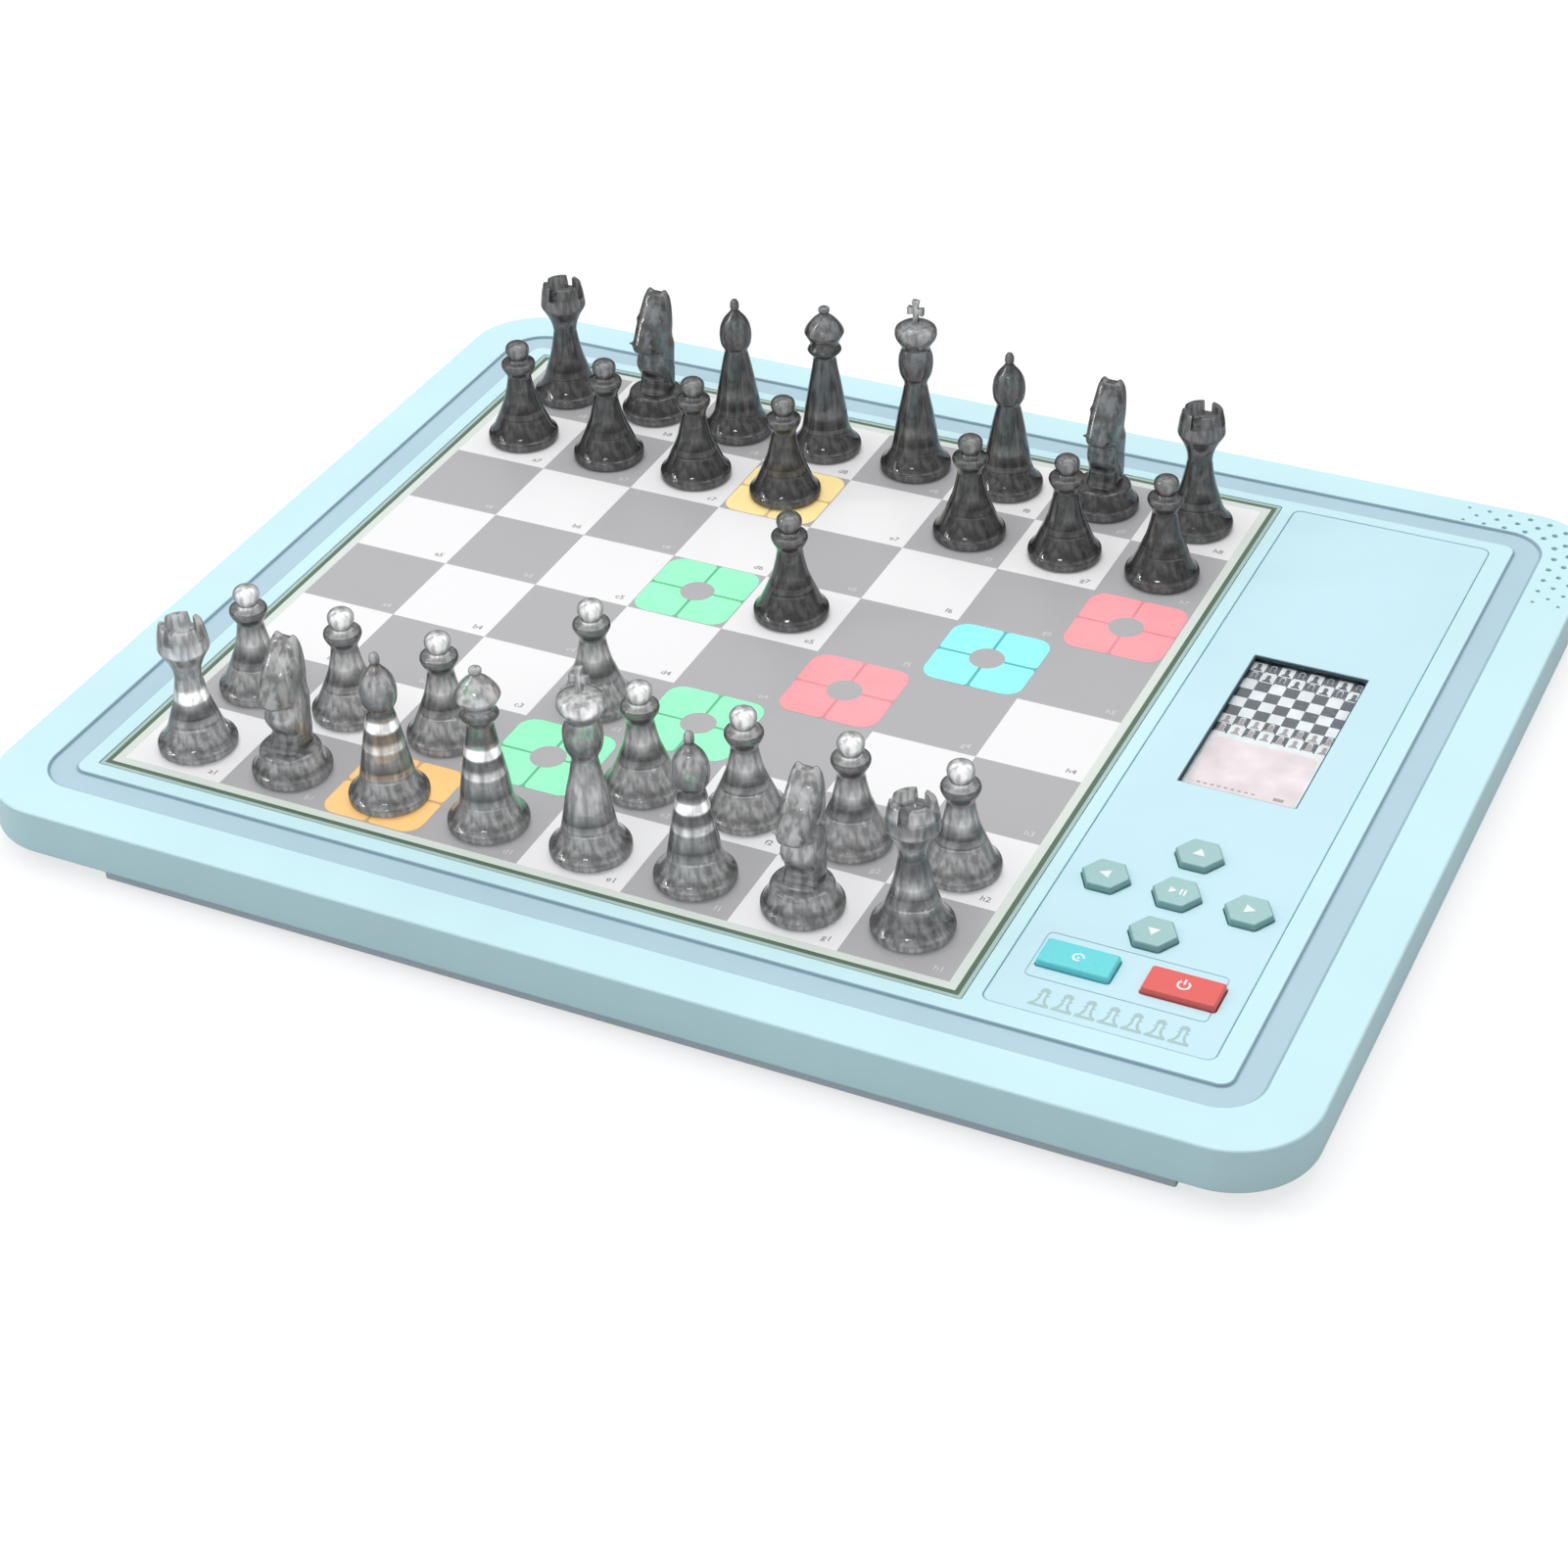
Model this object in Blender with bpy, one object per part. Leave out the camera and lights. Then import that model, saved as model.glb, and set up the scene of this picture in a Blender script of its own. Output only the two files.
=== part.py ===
"""Electronic chess computer: a slab body with a light-up 8 x 8 board, a key panel and 32 chess pieces.

Metres, +Z up. The origin is at the centre of the body's footprint, on the plane that the rubber feet
rest on. +X runs along the long side, from the board towards the key panel, and +Y from the near edge
to the far edge. Every piece stands on its start square, apart from the two pawns that have moved.
"""

import math

import bmesh
import bpy
from mathutils import Vector

MM = 0.001
GAP = 0.3 * MM  # clearance between neighbouring solids

# Body
SQUARE = 32.0 * MM  # one square of the board
FIELD = 8 * SQUARE
BODY_WIDTH = 394.0 * MM
BODY_DEPTH = 322.0 * MM
BODY_RADIUS = 24.0 * MM
MARGIN_LEFT = 34.0 * MM  # body edge to the first file
MARGIN_NEAR = 34.0 * MM  # body edge to the first rank
TOP_Z = 18.8 * MM
COVER_BOTTOM_Z = 4.6 * MM
COVER_LOWER_ROUND = 1.2 * MM
COVER_TOP_ROUND = 0.8 * MM
WALL = 2.4 * MM
TOP_PLATE = 2.6 * MM
PLATE_UNDER_Z = TOP_Z - TOP_PLATE
CAVITY_Z = 6.8 * MM  # where the lip round the mouth gives way to the full cavity
CORNER_STEPS = 7

# Bottom pan
PAN_BOTTOM_Z = 1.2 * MM
PAN_TOP_Z = 6.5 * MM
PAN_FLOOR = 2.0 * MM
PAN_INSET = 5.8 * MM
PAN_WALL = 1.6 * MM
PAN_RADIUS = 26.0 * MM
PAN_CHAMFER = 0.8 * MM
RAIL_ENDS = (-150.0 * MM, 167.0 * MM)  # rails under the near and the far edge, along X
RAIL_INSET = 1.2 * MM
FLOOR_Z = PAN_BOTTOM_Z + PAN_FLOOR

# Channel that runs round the board and the panel
CHANNEL_WIDTH = 8.2 * MM
CHANNEL_DEPTH = 0.8 * MM
CHANNEL_TO_FIELD = 10.9 * MM  # inner edge to the playing field, left and near
CHANNEL_TO_FIELD_FAR = 10.0 * MM
CHANNEL_LENGTH = 346.6 * MM  # inner edge to inner edge, along X
CHANNEL_INNER_RADIUS = 4.0 * MM

# Playing surface
SHEET_SIZE = 266.6 * MM
SHEET_THICK = 0.9 * MM
SHEET_TOP_Z = 18.6 * MM
LIGHT_OPENING = 258.0 * MM
GRID_BOTTOM_Z = 11.0 * MM
GRID_WALL = 2.0 * MM
BOARD_TOP_Z = 10.7 * MM  # upper face of both circuit boards
BOARD_THICK = 1.6 * MM
SENSOR_BOARD_SIZE = 260.0 * MM

# Key panel, placed from the near-left corner of the playing field
PANEL_WIDTH = 62.7 * MM
PANEL_LENGTH = 264.0 * MM
PANEL_RADIUS = 2.5 * MM
PANEL_LEFT = 265.9 * MM
PANEL_NEAR = -2.9 * MM
PANEL_TOP_Z = 18.7 * MM
PANEL_THICK = 1.2 * MM
WINDOW_SIZE = (34.8 * MM, 69.6 * MM)
WINDOW_CENTRE = (297.6 * MM, 142.3 * MM)
LENS_SIZE = (38.0 * MM, 73.0 * MM)
LENS_THICK = 0.8 * MM
MODULE_SIZE = (37.0 * MM, 72.0 * MM)

# Keys
KEY_TRAVEL = 1.0 * MM
KEY_TOP_Z = 20.6 * MM
KEY_CLEARANCE = 0.35 * MM
KEY_CHAMFER = 0.5 * MM
FLANGE_TOP_Z = 17.1 * MM
FLANGE_THICK = 0.8 * MM
FLANGE_OVERHANG = 1.4 * MM
HEX_RADIUS = 6.95 * MM  # to the corners
BAR_KEY_SIZE = (20.2 * MM, 10.2 * MM)
HEX_KEYS = {
    "up_key": (297.9 * MM, 75.5 * MM),
    "centre_key": (297.9 * MM, 57.0 * MM),
    "down_key": (297.9 * MM, 38.4 * MM),
    "left_key": (277.8 * MM, 57.0 * MM),
    "right_key": (318.0 * MM, 57.0 * MM),
}
BAR_KEYS = {"cyan_key": (283.8 * MM, 20.3 * MM), "red_key": (312.6 * MM, 20.3 * MM)}
KEY_OPENING = ((268.0 * MM, 13.0 * MM), (327.0 * MM, 84.0 * MM))
MAT_THICK = 1.2 * MM
MAT_BOTTOM_Z = BOARD_TOP_Z + GAP
DOME_TOP_Z = FLANGE_TOP_Z - FLANGE_THICK - KEY_TRAVEL - GAP

# Speaker under the perforated far-right corner
SPEAKER_CENTRE = (178.5 * MM, 142.5 * MM)
SPEAKER_RADIUS = 12.0 * MM
SPEAKER_HEIGHT = 4.6 * MM
HOLE_ROWS = 3
HOLE_PITCH = 6.4 * MM  # along a row
HOLE_ROW_STEP = 3.9 * MM
HOLE_RADIUS = 0.95 * MM
HOLE_FIRST_INSET = 4.2 * MM
HOLE_REACH_SIDE = 27.0 * MM  # how far the rows run along the body's right side
HOLE_REACH_FAR = 20.0 * MM  # and along its far side

# Inside and underside
SCREW_PLACES = [(sx * 185.0 * MM, sy * 118.0 * MM) for sx in (-1, 1) for sy in (-1, 1)]
FOOT_PLACES = [(sx * 165.0 * MM, sy * 130.0 * MM) for sx in (-1, 1) for sy in (-1, 1)]
FOOT_RADIUS = 7.0 * MM
FOOT_HEIGHT = 1.5 * MM
BATTERY_SIZE = (110.0 * MM, 70.0 * MM, 4.0 * MM)
CONTROL_BOARD_WIDTH = 61.0 * MM
CONTROL_BOARD_ENDS = (-128.0 * MM, 157.0 * MM)
SOCKET_SIZE = (8.9 * MM, 7.0 * MM, 3.2 * MM)

# Chess pieces
PIECE_STEPS = 12
PIECE_GAP_Z = SHEET_TOP_Z + GAP
HORSE_THICK = 11.8 * MM
CRENEL_FLOOR_Z = 37.0 * MM

FIELD_X = -BODY_WIDTH / 2 + MARGIN_LEFT
FIELD_Y = -BODY_DEPTH / 2 + MARGIN_NEAR
FIELD_CENTRE = (FIELD_X + FIELD / 2, FIELD_Y + FIELD / 2)
PANEL_CENTRE = (FIELD_X + PANEL_LEFT + PANEL_WIDTH / 2, FIELD_Y + PANEL_NEAR + PANEL_LENGTH / 2)


def on_panel(place):
    """World x, y of a point measured from the near-left corner of the playing field."""
    return FIELD_X + place[0], FIELD_Y + place[1]


# ---------------------------------------------------------------- materials


def material(name, colour, roughness, metallic=0.0, alpha=1.0):
    made = bpy.data.materials.new(name)
    made.use_nodes = True
    shader = made.node_tree.nodes["Principled BSDF"]
    shader.inputs["Base Color"].default_value = (*colour, 1.0)
    shader.inputs["Roughness"].default_value = roughness
    shader.inputs["Metallic"].default_value = metallic
    shader.inputs["Alpha"].default_value = alpha
    made.diffuse_color = (*colour, alpha)
    return made


def make_materials():
    return {
        "cover": material("cover_blue", (0.66, 0.90, 0.95), 0.38),
        "pan": material("pan_blue", (0.42, 0.55, 0.66), 0.5),
        "sheet": material("printed_sheet", (0.88, 0.90, 0.88), 0.35),
        "panel": material("panel_blue", (0.62, 0.87, 0.93), 0.4),
        "lens": material("lens_clear", (0.9, 0.93, 0.95), 0.05, alpha=0.35),
        "module": material("display_dark", (0.05, 0.05, 0.06), 0.3),
        "hex": material("key_grey_green", (0.40, 0.60, 0.56), 0.35),
        "cyan": material("key_cyan", (0.16, 0.74, 0.80), 0.35),
        "red": material("key_red", (0.80, 0.14, 0.13), 0.35),
        "grid": material("grid_white", (0.88, 0.88, 0.88), 0.6),
        "circuit": material("circuit_green", (0.03, 0.22, 0.10), 0.45),
        "rubber": material("rubber_grey", (0.12, 0.12, 0.13), 0.9),
        "mat": material("mat_silicone", (0.55, 0.57, 0.58), 0.8),
        "speaker": material("speaker_black", (0.03, 0.03, 0.03), 0.6),
        "battery": material("battery_silver", (0.60, 0.62, 0.64), 0.35, metallic=0.6),
        "steel": material("steel", (0.62, 0.62, 0.63), 0.3, metallic=1.0),
        "clear": material("clear_acrylic", (0.85, 0.87, 0.88), 0.06, alpha=0.4),
        "smoke": material("smoke_acrylic", (0.10, 0.10, 0.11), 0.08, alpha=0.75),
    }


# ---------------------------------------------------------------- outlines, plain lists of (x, y)


def rounded_outline(width, depth, radius, centre=(0.0, 0.0), steps=CORNER_STEPS):
    """A rectangle with round corners, anticlockwise."""
    points = []
    for corner in range(4):
        sx, sy = ((1, 1), (-1, 1), (-1, -1), (1, -1))[corner]
        cx = centre[0] + sx * (width / 2 - radius)
        cy = centre[1] + sy * (depth / 2 - radius)
        for step in range(steps + 1):
            turn = math.pi / 2 * (corner + step / steps)
            points.append((cx + radius * math.cos(turn), cy + radius * math.sin(turn)))
    return points


def box_outline(low, high):
    return [(low[0], low[1]), (high[0], low[1]), (high[0], high[1]), (low[0], high[1])]


def centred_box(size, centre=(0.0, 0.0)):
    low = (centre[0] - size[0] / 2, centre[1] - size[1] / 2)
    high = (centre[0] + size[0] / 2, centre[1] + size[1] / 2)
    return box_outline(low, high)


def regular_outline(radius, sides, centre=(0.0, 0.0), turn=0.0):
    angles = [turn + 2 * math.pi * side / sides for side in range(sides)]
    return [(centre[0] + radius * math.cos(a), centre[1] + radius * math.sin(a)) for a in angles]


def body_outline(inset):
    """The body's outline, moved inwards."""
    return rounded_outline(BODY_WIDTH - 2 * inset, BODY_DEPTH - 2 * inset, BODY_RADIUS - inset)


# ---------------------------------------------------------------- solids


def add_loft(bm, rings):
    """Closed solid through outlines stacked along Z: rings is a list of (outline, z)."""
    rows = [[bm.verts.new((x, y, z)) for x, y in outline] for outline, z in rings]
    count = len(rows[0])
    for lower, upper in zip(rows, rows[1:]):
        for i in range(count):
            j = (i + 1) % count
            bm.faces.new((lower[i], lower[j], upper[j], upper[i]))
    bm.faces.new(reversed(rows[0]))
    bm.faces.new(rows[-1])


def add_prism(bm, outline, low, high):
    add_loft(bm, [(outline, low), (outline, high)])


def add_ring(bm, outer, inner, low, high):
    """Closed frame between two outlines with the same number of points."""
    rows = [[bm.verts.new((x, y, z)) for x, y in line] for line, z in
            ((outer, low), (outer, high), (inner, high), (inner, low))]
    count = len(outer)
    for first, second in zip(rows, rows[1:] + rows[:1]):
        for i in range(count):
            j = (i + 1) % count
            bm.faces.new((first[i], first[j], second[j], second[i]))


def add_turned(bm, profile, centre=(0.0, 0.0, 0.0), steps=PIECE_STEPS):
    """Solid turned about Z from (radius, z) points that start and end on the axis."""
    made = bmesh.new()
    line = [made.verts.new((radius, 0.0, z)) for radius, z in profile]
    edges = [made.edges.new(pair) for pair in zip(line, line[1:])]
    bmesh.ops.spin(made, geom=line + edges, cent=(0, 0, 0), axis=(0, 0, 1), angle=2 * math.pi,
                   steps=steps, use_merge=True)
    bmesh.ops.remove_doubles(made, verts=made.verts, dist=1e-6)
    bmesh.ops.recalc_face_normals(made, faces=made.faces)
    bmesh.ops.translate(made, verts=made.verts, vec=Vector(centre))
    held = bpy.data.meshes.new("turned")
    made.to_mesh(held)
    made.free()
    bm.from_mesh(held)
    bpy.data.meshes.remove(held)


def post_profile(radius, low, high):
    return [(0.0, low), (radius, low), (radius, high), (0.0, high)]


def stepped_profile(levels):
    """Turned profile from (radius, low z, high z) levels, listed upwards."""
    points = [(0.0, levels[0][1])]
    for radius, low, high in levels:
        points += [(radius, low), (radius, high)]
    return points + [(0.0, levels[-1][2])]


def as_object(name, bm, surface=None, place=(0.0, 0.0, 0.0)):
    mesh = bpy.data.meshes.new(name)
    bmesh.ops.recalc_face_normals(bm, faces=bm.faces)
    bm.to_mesh(mesh)
    bm.free()
    return place_mesh(name, mesh, surface, place)


def place_mesh(name, mesh, surface, place):
    obj = bpy.data.objects.new(name, mesh)
    bpy.context.scene.collection.objects.link(obj)
    obj.location = place
    if surface:
        mesh.materials.clear()
        mesh.materials.append(surface)
    return obj


def combine(target, tool, operation):
    """Leave a Boolean on the target; the tool stays in the file as a hidden guide."""
    tool.hide_render = True
    tool.display_type = "WIRE"
    step = target.modifiers.new(tool.name, "BOOLEAN")
    step.operation = operation
    step.object = tool


def cut(target, bm, name):
    combine(target, as_object(name, bm), "DIFFERENCE")


def join(target, bm, name):
    combine(target, as_object(name, bm), "UNION")


def smooth(obj, angle=35.0):
    obj.data.shade_smooth()
    obj.data.set_sharp_from_angle(angle=math.radians(angle))


# ---------------------------------------------------------------- covers


def cover_blank():
    """Outside of the top cover: rounded under-edge, upright side, lightly broken top edge."""
    bm = bmesh.new()
    rings = []
    for step in range(4):
        turn = math.pi / 2 * step / 3
        inset = COVER_LOWER_ROUND * (1 - math.sin(turn))
        rings.append((body_outline(inset), COVER_BOTTOM_Z + COVER_LOWER_ROUND * (1 - math.cos(turn))))
    rings.append((body_outline(0.0), TOP_Z - COVER_TOP_ROUND))
    rings.append((body_outline(COVER_TOP_ROUND), TOP_Z))
    add_loft(bm, rings)
    return bm


def cover_cavity():
    bm = bmesh.new()
    mouth = body_outline(PAN_INSET - GAP)
    room = body_outline(WALL)
    add_loft(bm, [(mouth, 0.0), (mouth, CAVITY_Z), (room, CAVITY_Z), (room, PLATE_UNDER_Z)])
    return bm


def channel():
    """Shallow channel round the board and the panel."""
    near = FIELD_Y - CHANNEL_TO_FIELD
    far = FIELD_Y + FIELD + CHANNEL_TO_FIELD_FAR
    left = FIELD_X - CHANNEL_TO_FIELD
    width, depth = CHANNEL_LENGTH, far - near
    centre = (left + width / 2, (near + far) / 2)
    inner = rounded_outline(width, depth, CHANNEL_INNER_RADIUS, centre, steps=4)
    grow = 2 * CHANNEL_WIDTH
    outer_radius = CHANNEL_INNER_RADIUS + CHANNEL_WIDTH
    outer = rounded_outline(width + grow, depth + grow, outer_radius, centre, steps=4)
    bm = bmesh.new()
    add_ring(bm, outer, inner, TOP_Z - CHANNEL_DEPTH, TOP_Z + 2 * MM)
    return bm


def speaker_holes():
    """Rows of round holes that follow the body's far-right corner."""
    bm = bmesh.new()
    arc_x = BODY_WIDTH / 2 - BODY_RADIUS
    arc_y = BODY_DEPTH / 2 - BODY_RADIUS
    for row in range(HOLE_ROWS):
        radius = BODY_RADIUS - HOLE_FIRST_INSET - row * HOLE_ROW_STEP
        bend = radius * math.pi / 2
        length = bend + HOLE_REACH_SIDE + HOLE_REACH_FAR
        count = round(length / HOLE_PITCH)
        for hole in range(count + 1 - row % 2):
            along = (hole + 0.5 * (row % 2)) * length / count - HOLE_REACH_SIDE
            if along < 0:
                x, y = arc_x + radius, arc_y + along
            elif along > bend:
                x, y = arc_x - (along - bend), arc_y + radius
            else:
                x = arc_x + radius * math.cos(along / radius)
                y = arc_y + radius * math.sin(along / radius)
            from_middle = abs(2 * (along + HOLE_REACH_SIDE) / length - 1)
            size = HOLE_RADIUS * (1 - 0.4 * from_middle ** 2)
            add_prism(bm, regular_outline(size, 6, (x, y)), PLATE_UNDER_Z - MM, TOP_Z + MM)
    return bm


def cover_openings():
    """Recesses and openings for the sheet, panel, display, keys and socket, and the screw holes."""
    bm = bmesh.new()
    light = centred_box((LIGHT_OPENING, LIGHT_OPENING), FIELD_CENTRE)
    recess_size = SHEET_SIZE + 2 * GAP
    recess = centred_box((recess_size, recess_size), FIELD_CENTRE)
    ledge = SHEET_TOP_Z - SHEET_THICK - GAP
    add_loft(bm, [(light, PLATE_UNDER_Z - MM), (light, ledge), (recess, ledge), (recess, TOP_Z + MM)])
    panel = rounded_outline(PANEL_WIDTH + 2 * GAP, PANEL_LENGTH + 2 * GAP, PANEL_RADIUS + GAP,
                            PANEL_CENTRE, steps=3)
    add_prism(bm, panel, PANEL_TOP_Z - PANEL_THICK - GAP, TOP_Z + MM)
    return bm


def through_openings():
    bm = bmesh.new()
    low, high = PLATE_UNDER_Z - MM, PANEL_TOP_Z
    lens = (LENS_SIZE[0] + 2 * GAP, LENS_SIZE[1] + 2 * GAP)
    add_prism(bm, centred_box(lens, on_panel(WINDOW_CENTRE)), low, high)
    add_prism(bm, box_outline(on_panel(KEY_OPENING[0]), on_panel(KEY_OPENING[1])), low, high)
    return bm


def small_openings():
    bm = bmesh.new()
    socket = (SOCKET_SIZE[0] + 2 * GAP, 4 * WALL)
    middle = (PANEL_CENTRE[0], BODY_DEPTH / 2)
    add_prism(bm, centred_box(socket, middle), BOARD_TOP_Z, BOARD_TOP_Z + SOCKET_SIZE[2] + 2 * GAP)
    for x, y in SCREW_PLACES:
        add_prism(bm, regular_outline(1.55 * MM, 8, (x, y)), 2 * MM, 14 * MM)
    return bm


def make_top_cover(surface):
    cover = as_object("top_cover", cover_blank(), surface)
    cut(cover, cover_cavity(), "cavity_cutter")
    posts = bmesh.new()
    for x, y in SCREW_PLACES:
        add_prism(posts, regular_outline(3.5 * MM, 10, (x, y)), 5.6 * MM, PLATE_UNDER_Z + MM)
    join(cover, posts, "screw_posts")
    cut(cover, channel(), "channel_cutter")
    cut(cover, cover_openings(), "recess_cutter")
    cut(cover, through_openings(), "opening_cutter")
    cut(cover, small_openings(), "socket_cutter")
    cut(cover, speaker_holes(), "speaker_cutter")
    return cover


def pan_outline(inset):
    inset += PAN_INSET
    return rounded_outline(BODY_WIDTH - 2 * inset, BODY_DEPTH - 2 * inset, PAN_RADIUS - inset)


def board_posts():
    """Places of the posts that carry the two circuit boards."""
    sensor = [(FIELD_CENTRE[0] + sx * 0.4 * FIELD, FIELD_CENTRE[1] + sy * 0.4 * FIELD)
              for sx in (-1, 1) for sy in (-1, 1)]
    reach = (CONTROL_BOARD_ENDS[1] - CONTROL_BOARD_ENDS[0]) / 2 - 12 * MM
    middle = sum(CONTROL_BOARD_ENDS) / 2
    control = [(PANEL_CENTRE[0] + sx * 24 * MM, middle + sy * reach)
               for sx in (-1, 1) for sy in (-1, 1)]
    return sensor, control


def make_bottom_cover(surface):
    bm = bmesh.new()
    add_loft(bm, [(pan_outline(PAN_CHAMFER), PAN_BOTTOM_Z),
                  (pan_outline(0.0), PAN_BOTTOM_Z + PAN_CHAMFER), (pan_outline(0.0), PAN_TOP_Z)])
    pan = as_object("bottom_cover", bm, surface)
    room = bmesh.new()
    add_prism(room, pan_outline(PAN_WALL), FLOOR_Z, PAN_TOP_Z + MM)
    cut(pan, room, "pan_cutter")
    posts = bmesh.new()
    carry_z = BOARD_TOP_Z - BOARD_THICK - GAP
    for x, y in sum(board_posts(), []):
        levels = [(3.0 * MM, FLOOR_Z - MM, carry_z), (1.2 * MM, carry_z, BOARD_TOP_Z - GAP)]
        add_turned(posts, stepped_profile(levels), (x, y, 0.0), steps=8)
    for x, y in SCREW_PLACES:
        add_prism(posts, regular_outline(4.6 * MM, 10, (x, y)), FLOOR_Z - MM, 5.3 * MM)
    join(pan, posts, "pan_posts")
    rails = bmesh.new()
    outer, inner = BODY_DEPTH / 2 - RAIL_INSET, BODY_DEPTH / 2 - PAN_INSET - 0.5 * PAN_WALL
    for side in (-1, 1):
        box = centred_box((RAIL_ENDS[1] - RAIL_ENDS[0], outer - inner),
                          (sum(RAIL_ENDS) / 2, side * (outer + inner) / 2))
        add_prism(rails, box, PAN_BOTTOM_Z + PAN_CHAMFER, COVER_BOTTOM_Z - GAP)
    join(pan, rails, "pan_rails")
    holes = bmesh.new()
    for x, y in SCREW_PLACES:
        levels = [(3.2 * MM, 0.0, 3.0 * MM), (1.7 * MM, 3.0 * MM, 8.0 * MM)]
        add_turned(holes, stepped_profile(levels), (x, y, 0.0), steps=10)
    for x, y in FOOT_PLACES:
        add_prism(holes, regular_outline(FOOT_RADIUS + GAP, 16, (x, y)), 0.0, FOOT_HEIGHT + GAP)
    cut(pan, holes, "pan_hole_cutter")
    return pan


# ---------------------------------------------------------------- board and panel


def make_playing_surface(surface):
    bm = bmesh.new()
    add_prism(bm, centred_box((SHEET_SIZE, SHEET_SIZE), FIELD_CENTRE), SHEET_TOP_Z - SHEET_THICK,
              SHEET_TOP_Z)
    return as_object("playing_surface", bm, surface)


def make_light_guide_grid(surface):
    bm = bmesh.new()
    side = LIGHT_OPENING - 2 * GAP
    top = SHEET_TOP_Z - SHEET_THICK - GAP
    add_prism(bm, centred_box((side, side), FIELD_CENTRE), GRID_BOTTOM_Z, top)
    grid = as_object("light_guide_grid", bm, surface)
    cells = bmesh.new()
    cell = SQUARE - GRID_WALL
    for column in range(8):
        for row in range(8):
            middle = (FIELD_X + (column + 0.5) * SQUARE, FIELD_Y + (row + 0.5) * SQUARE)
            add_prism(cells, centred_box((cell, cell), middle), GRID_BOTTOM_Z - MM, top + MM)
    cut(grid, cells, "cell_cutter")
    return grid


def make_circuit_board(name, outline, posts, surface):
    bm = bmesh.new()
    add_prism(bm, outline, BOARD_TOP_Z - BOARD_THICK, BOARD_TOP_Z)
    board = as_object(name, bm, surface)
    holes = bmesh.new()
    for place in posts:
        add_prism(holes, regular_outline(1.6 * MM, 8, place), BOARD_TOP_Z - 2 * BOARD_THICK,
                  BOARD_TOP_Z + BOARD_THICK)
    cut(board, holes, name + "_hole_cutter")
    return board


def make_control_panel(surface):
    bm = bmesh.new()
    outline = rounded_outline(PANEL_WIDTH, PANEL_LENGTH, PANEL_RADIUS, PANEL_CENTRE, steps=3)
    low, high = PANEL_TOP_Z - PANEL_THICK, PANEL_TOP_Z
    add_prism(bm, outline, low, high)
    panel = as_object("control_panel", bm, surface)
    holes = bmesh.new()
    add_prism(holes, centred_box(WINDOW_SIZE, on_panel(WINDOW_CENTRE)), low - MM, high + MM)
    for place in HEX_KEYS.values():
        outline = regular_outline(HEX_RADIUS + KEY_CLEARANCE, 6, on_panel(place))
        add_prism(holes, outline, low - MM, high + MM)
    for place in BAR_KEYS.values():
        size = [side + 2 * KEY_CLEARANCE for side in BAR_KEY_SIZE]
        add_prism(holes, centred_box(size, on_panel(place)), low - MM, high + MM)
    cut(panel, holes, "panel_cutter")
    return panel


def make_display(surfaces):
    middle = on_panel(WINDOW_CENTRE)
    lens_top = PANEL_TOP_Z - PANEL_THICK - GAP
    bm = bmesh.new()
    add_prism(bm, centred_box(LENS_SIZE, middle), lens_top - LENS_THICK, lens_top)
    lens = as_object("display_window", bm, surfaces["lens"])
    bm = bmesh.new()
    module_top = lens_top - LENS_THICK - GAP
    add_prism(bm, centred_box(MODULE_SIZE, middle), BOARD_TOP_Z + GAP, module_top)
    module = as_object("display_module", bm, surfaces["module"])
    glass = bmesh.new()
    add_prism(glass, centred_box(WINDOW_SIZE, middle), module_top - 0.4 * MM, module_top + MM)
    cut(module, glass, "screen_cutter")
    return lens, module


def make_key(name, place, outline_of, surface):
    """Key with a retaining flange under the panel; its origin is on its line of travel."""
    flange = outline_of(FLANGE_OVERHANG)
    stem = outline_of(0.0)
    crown = outline_of(-KEY_CHAMFER)
    base = FLANGE_TOP_Z - FLANGE_THICK
    bm = bmesh.new()
    add_loft(bm, [(flange, 0.0), (flange, FLANGE_THICK), (stem, FLANGE_THICK),
                  (stem, KEY_TOP_Z - KEY_CHAMFER - base), (crown, KEY_TOP_Z - base)])
    return as_object(name, bm, surface, (*on_panel(place), base))


def hex_key_outline(grow):
    return regular_outline(HEX_RADIUS + grow, 6)


def bar_key_outline(grow):
    return centred_box([side + 2 * grow for side in BAR_KEY_SIZE])


def make_key_mat(surface):
    bm = bmesh.new()
    low, high = KEY_OPENING
    size = (high[0] - low[0] - 2 * MM, high[1] - low[1] - 2 * MM)
    middle = on_panel(((low[0] + high[0]) / 2, (low[1] + high[1]) / 2))
    add_prism(bm, centred_box(size, middle), MAT_BOTTOM_Z, MAT_BOTTOM_Z + MAT_THICK)
    mat = as_object("key_mat", bm, surface)
    domes = bmesh.new()
    for place in list(HEX_KEYS.values()) + list(BAR_KEYS.values()):
        middle = on_panel(place)
        foot = regular_outline(4.6 * MM, 10, middle)
        head = regular_outline(2.8 * MM, 10, middle)
        add_loft(domes, [(foot, MAT_BOTTOM_Z + MAT_THICK / 2), (foot, MAT_BOTTOM_Z + MAT_THICK + MM / 5),
                         (head, DOME_TOP_Z)])
    join(mat, domes, "key_domes")
    return mat


# ---------------------------------------------------------------- small parts


def make_speaker(surface):
    top = PLATE_UNDER_Z - GAP
    low = top - SPEAKER_HEIGHT
    profile = [(0.0, low), (6.0 * MM, low), (6.0 * MM, low + 1.8 * MM), (SPEAKER_RADIUS, low + 3.0 * MM),
               (SPEAKER_RADIUS, top), (SPEAKER_RADIUS - 1.5 * MM, top), (4.0 * MM, top - 1.5 * MM),
               (0.0, top - 0.8 * MM)]
    bm = bmesh.new()
    add_turned(bm, profile, steps=16)
    return as_object("speaker", bm, surface, (*SPEAKER_CENTRE, 0.0))


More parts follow.
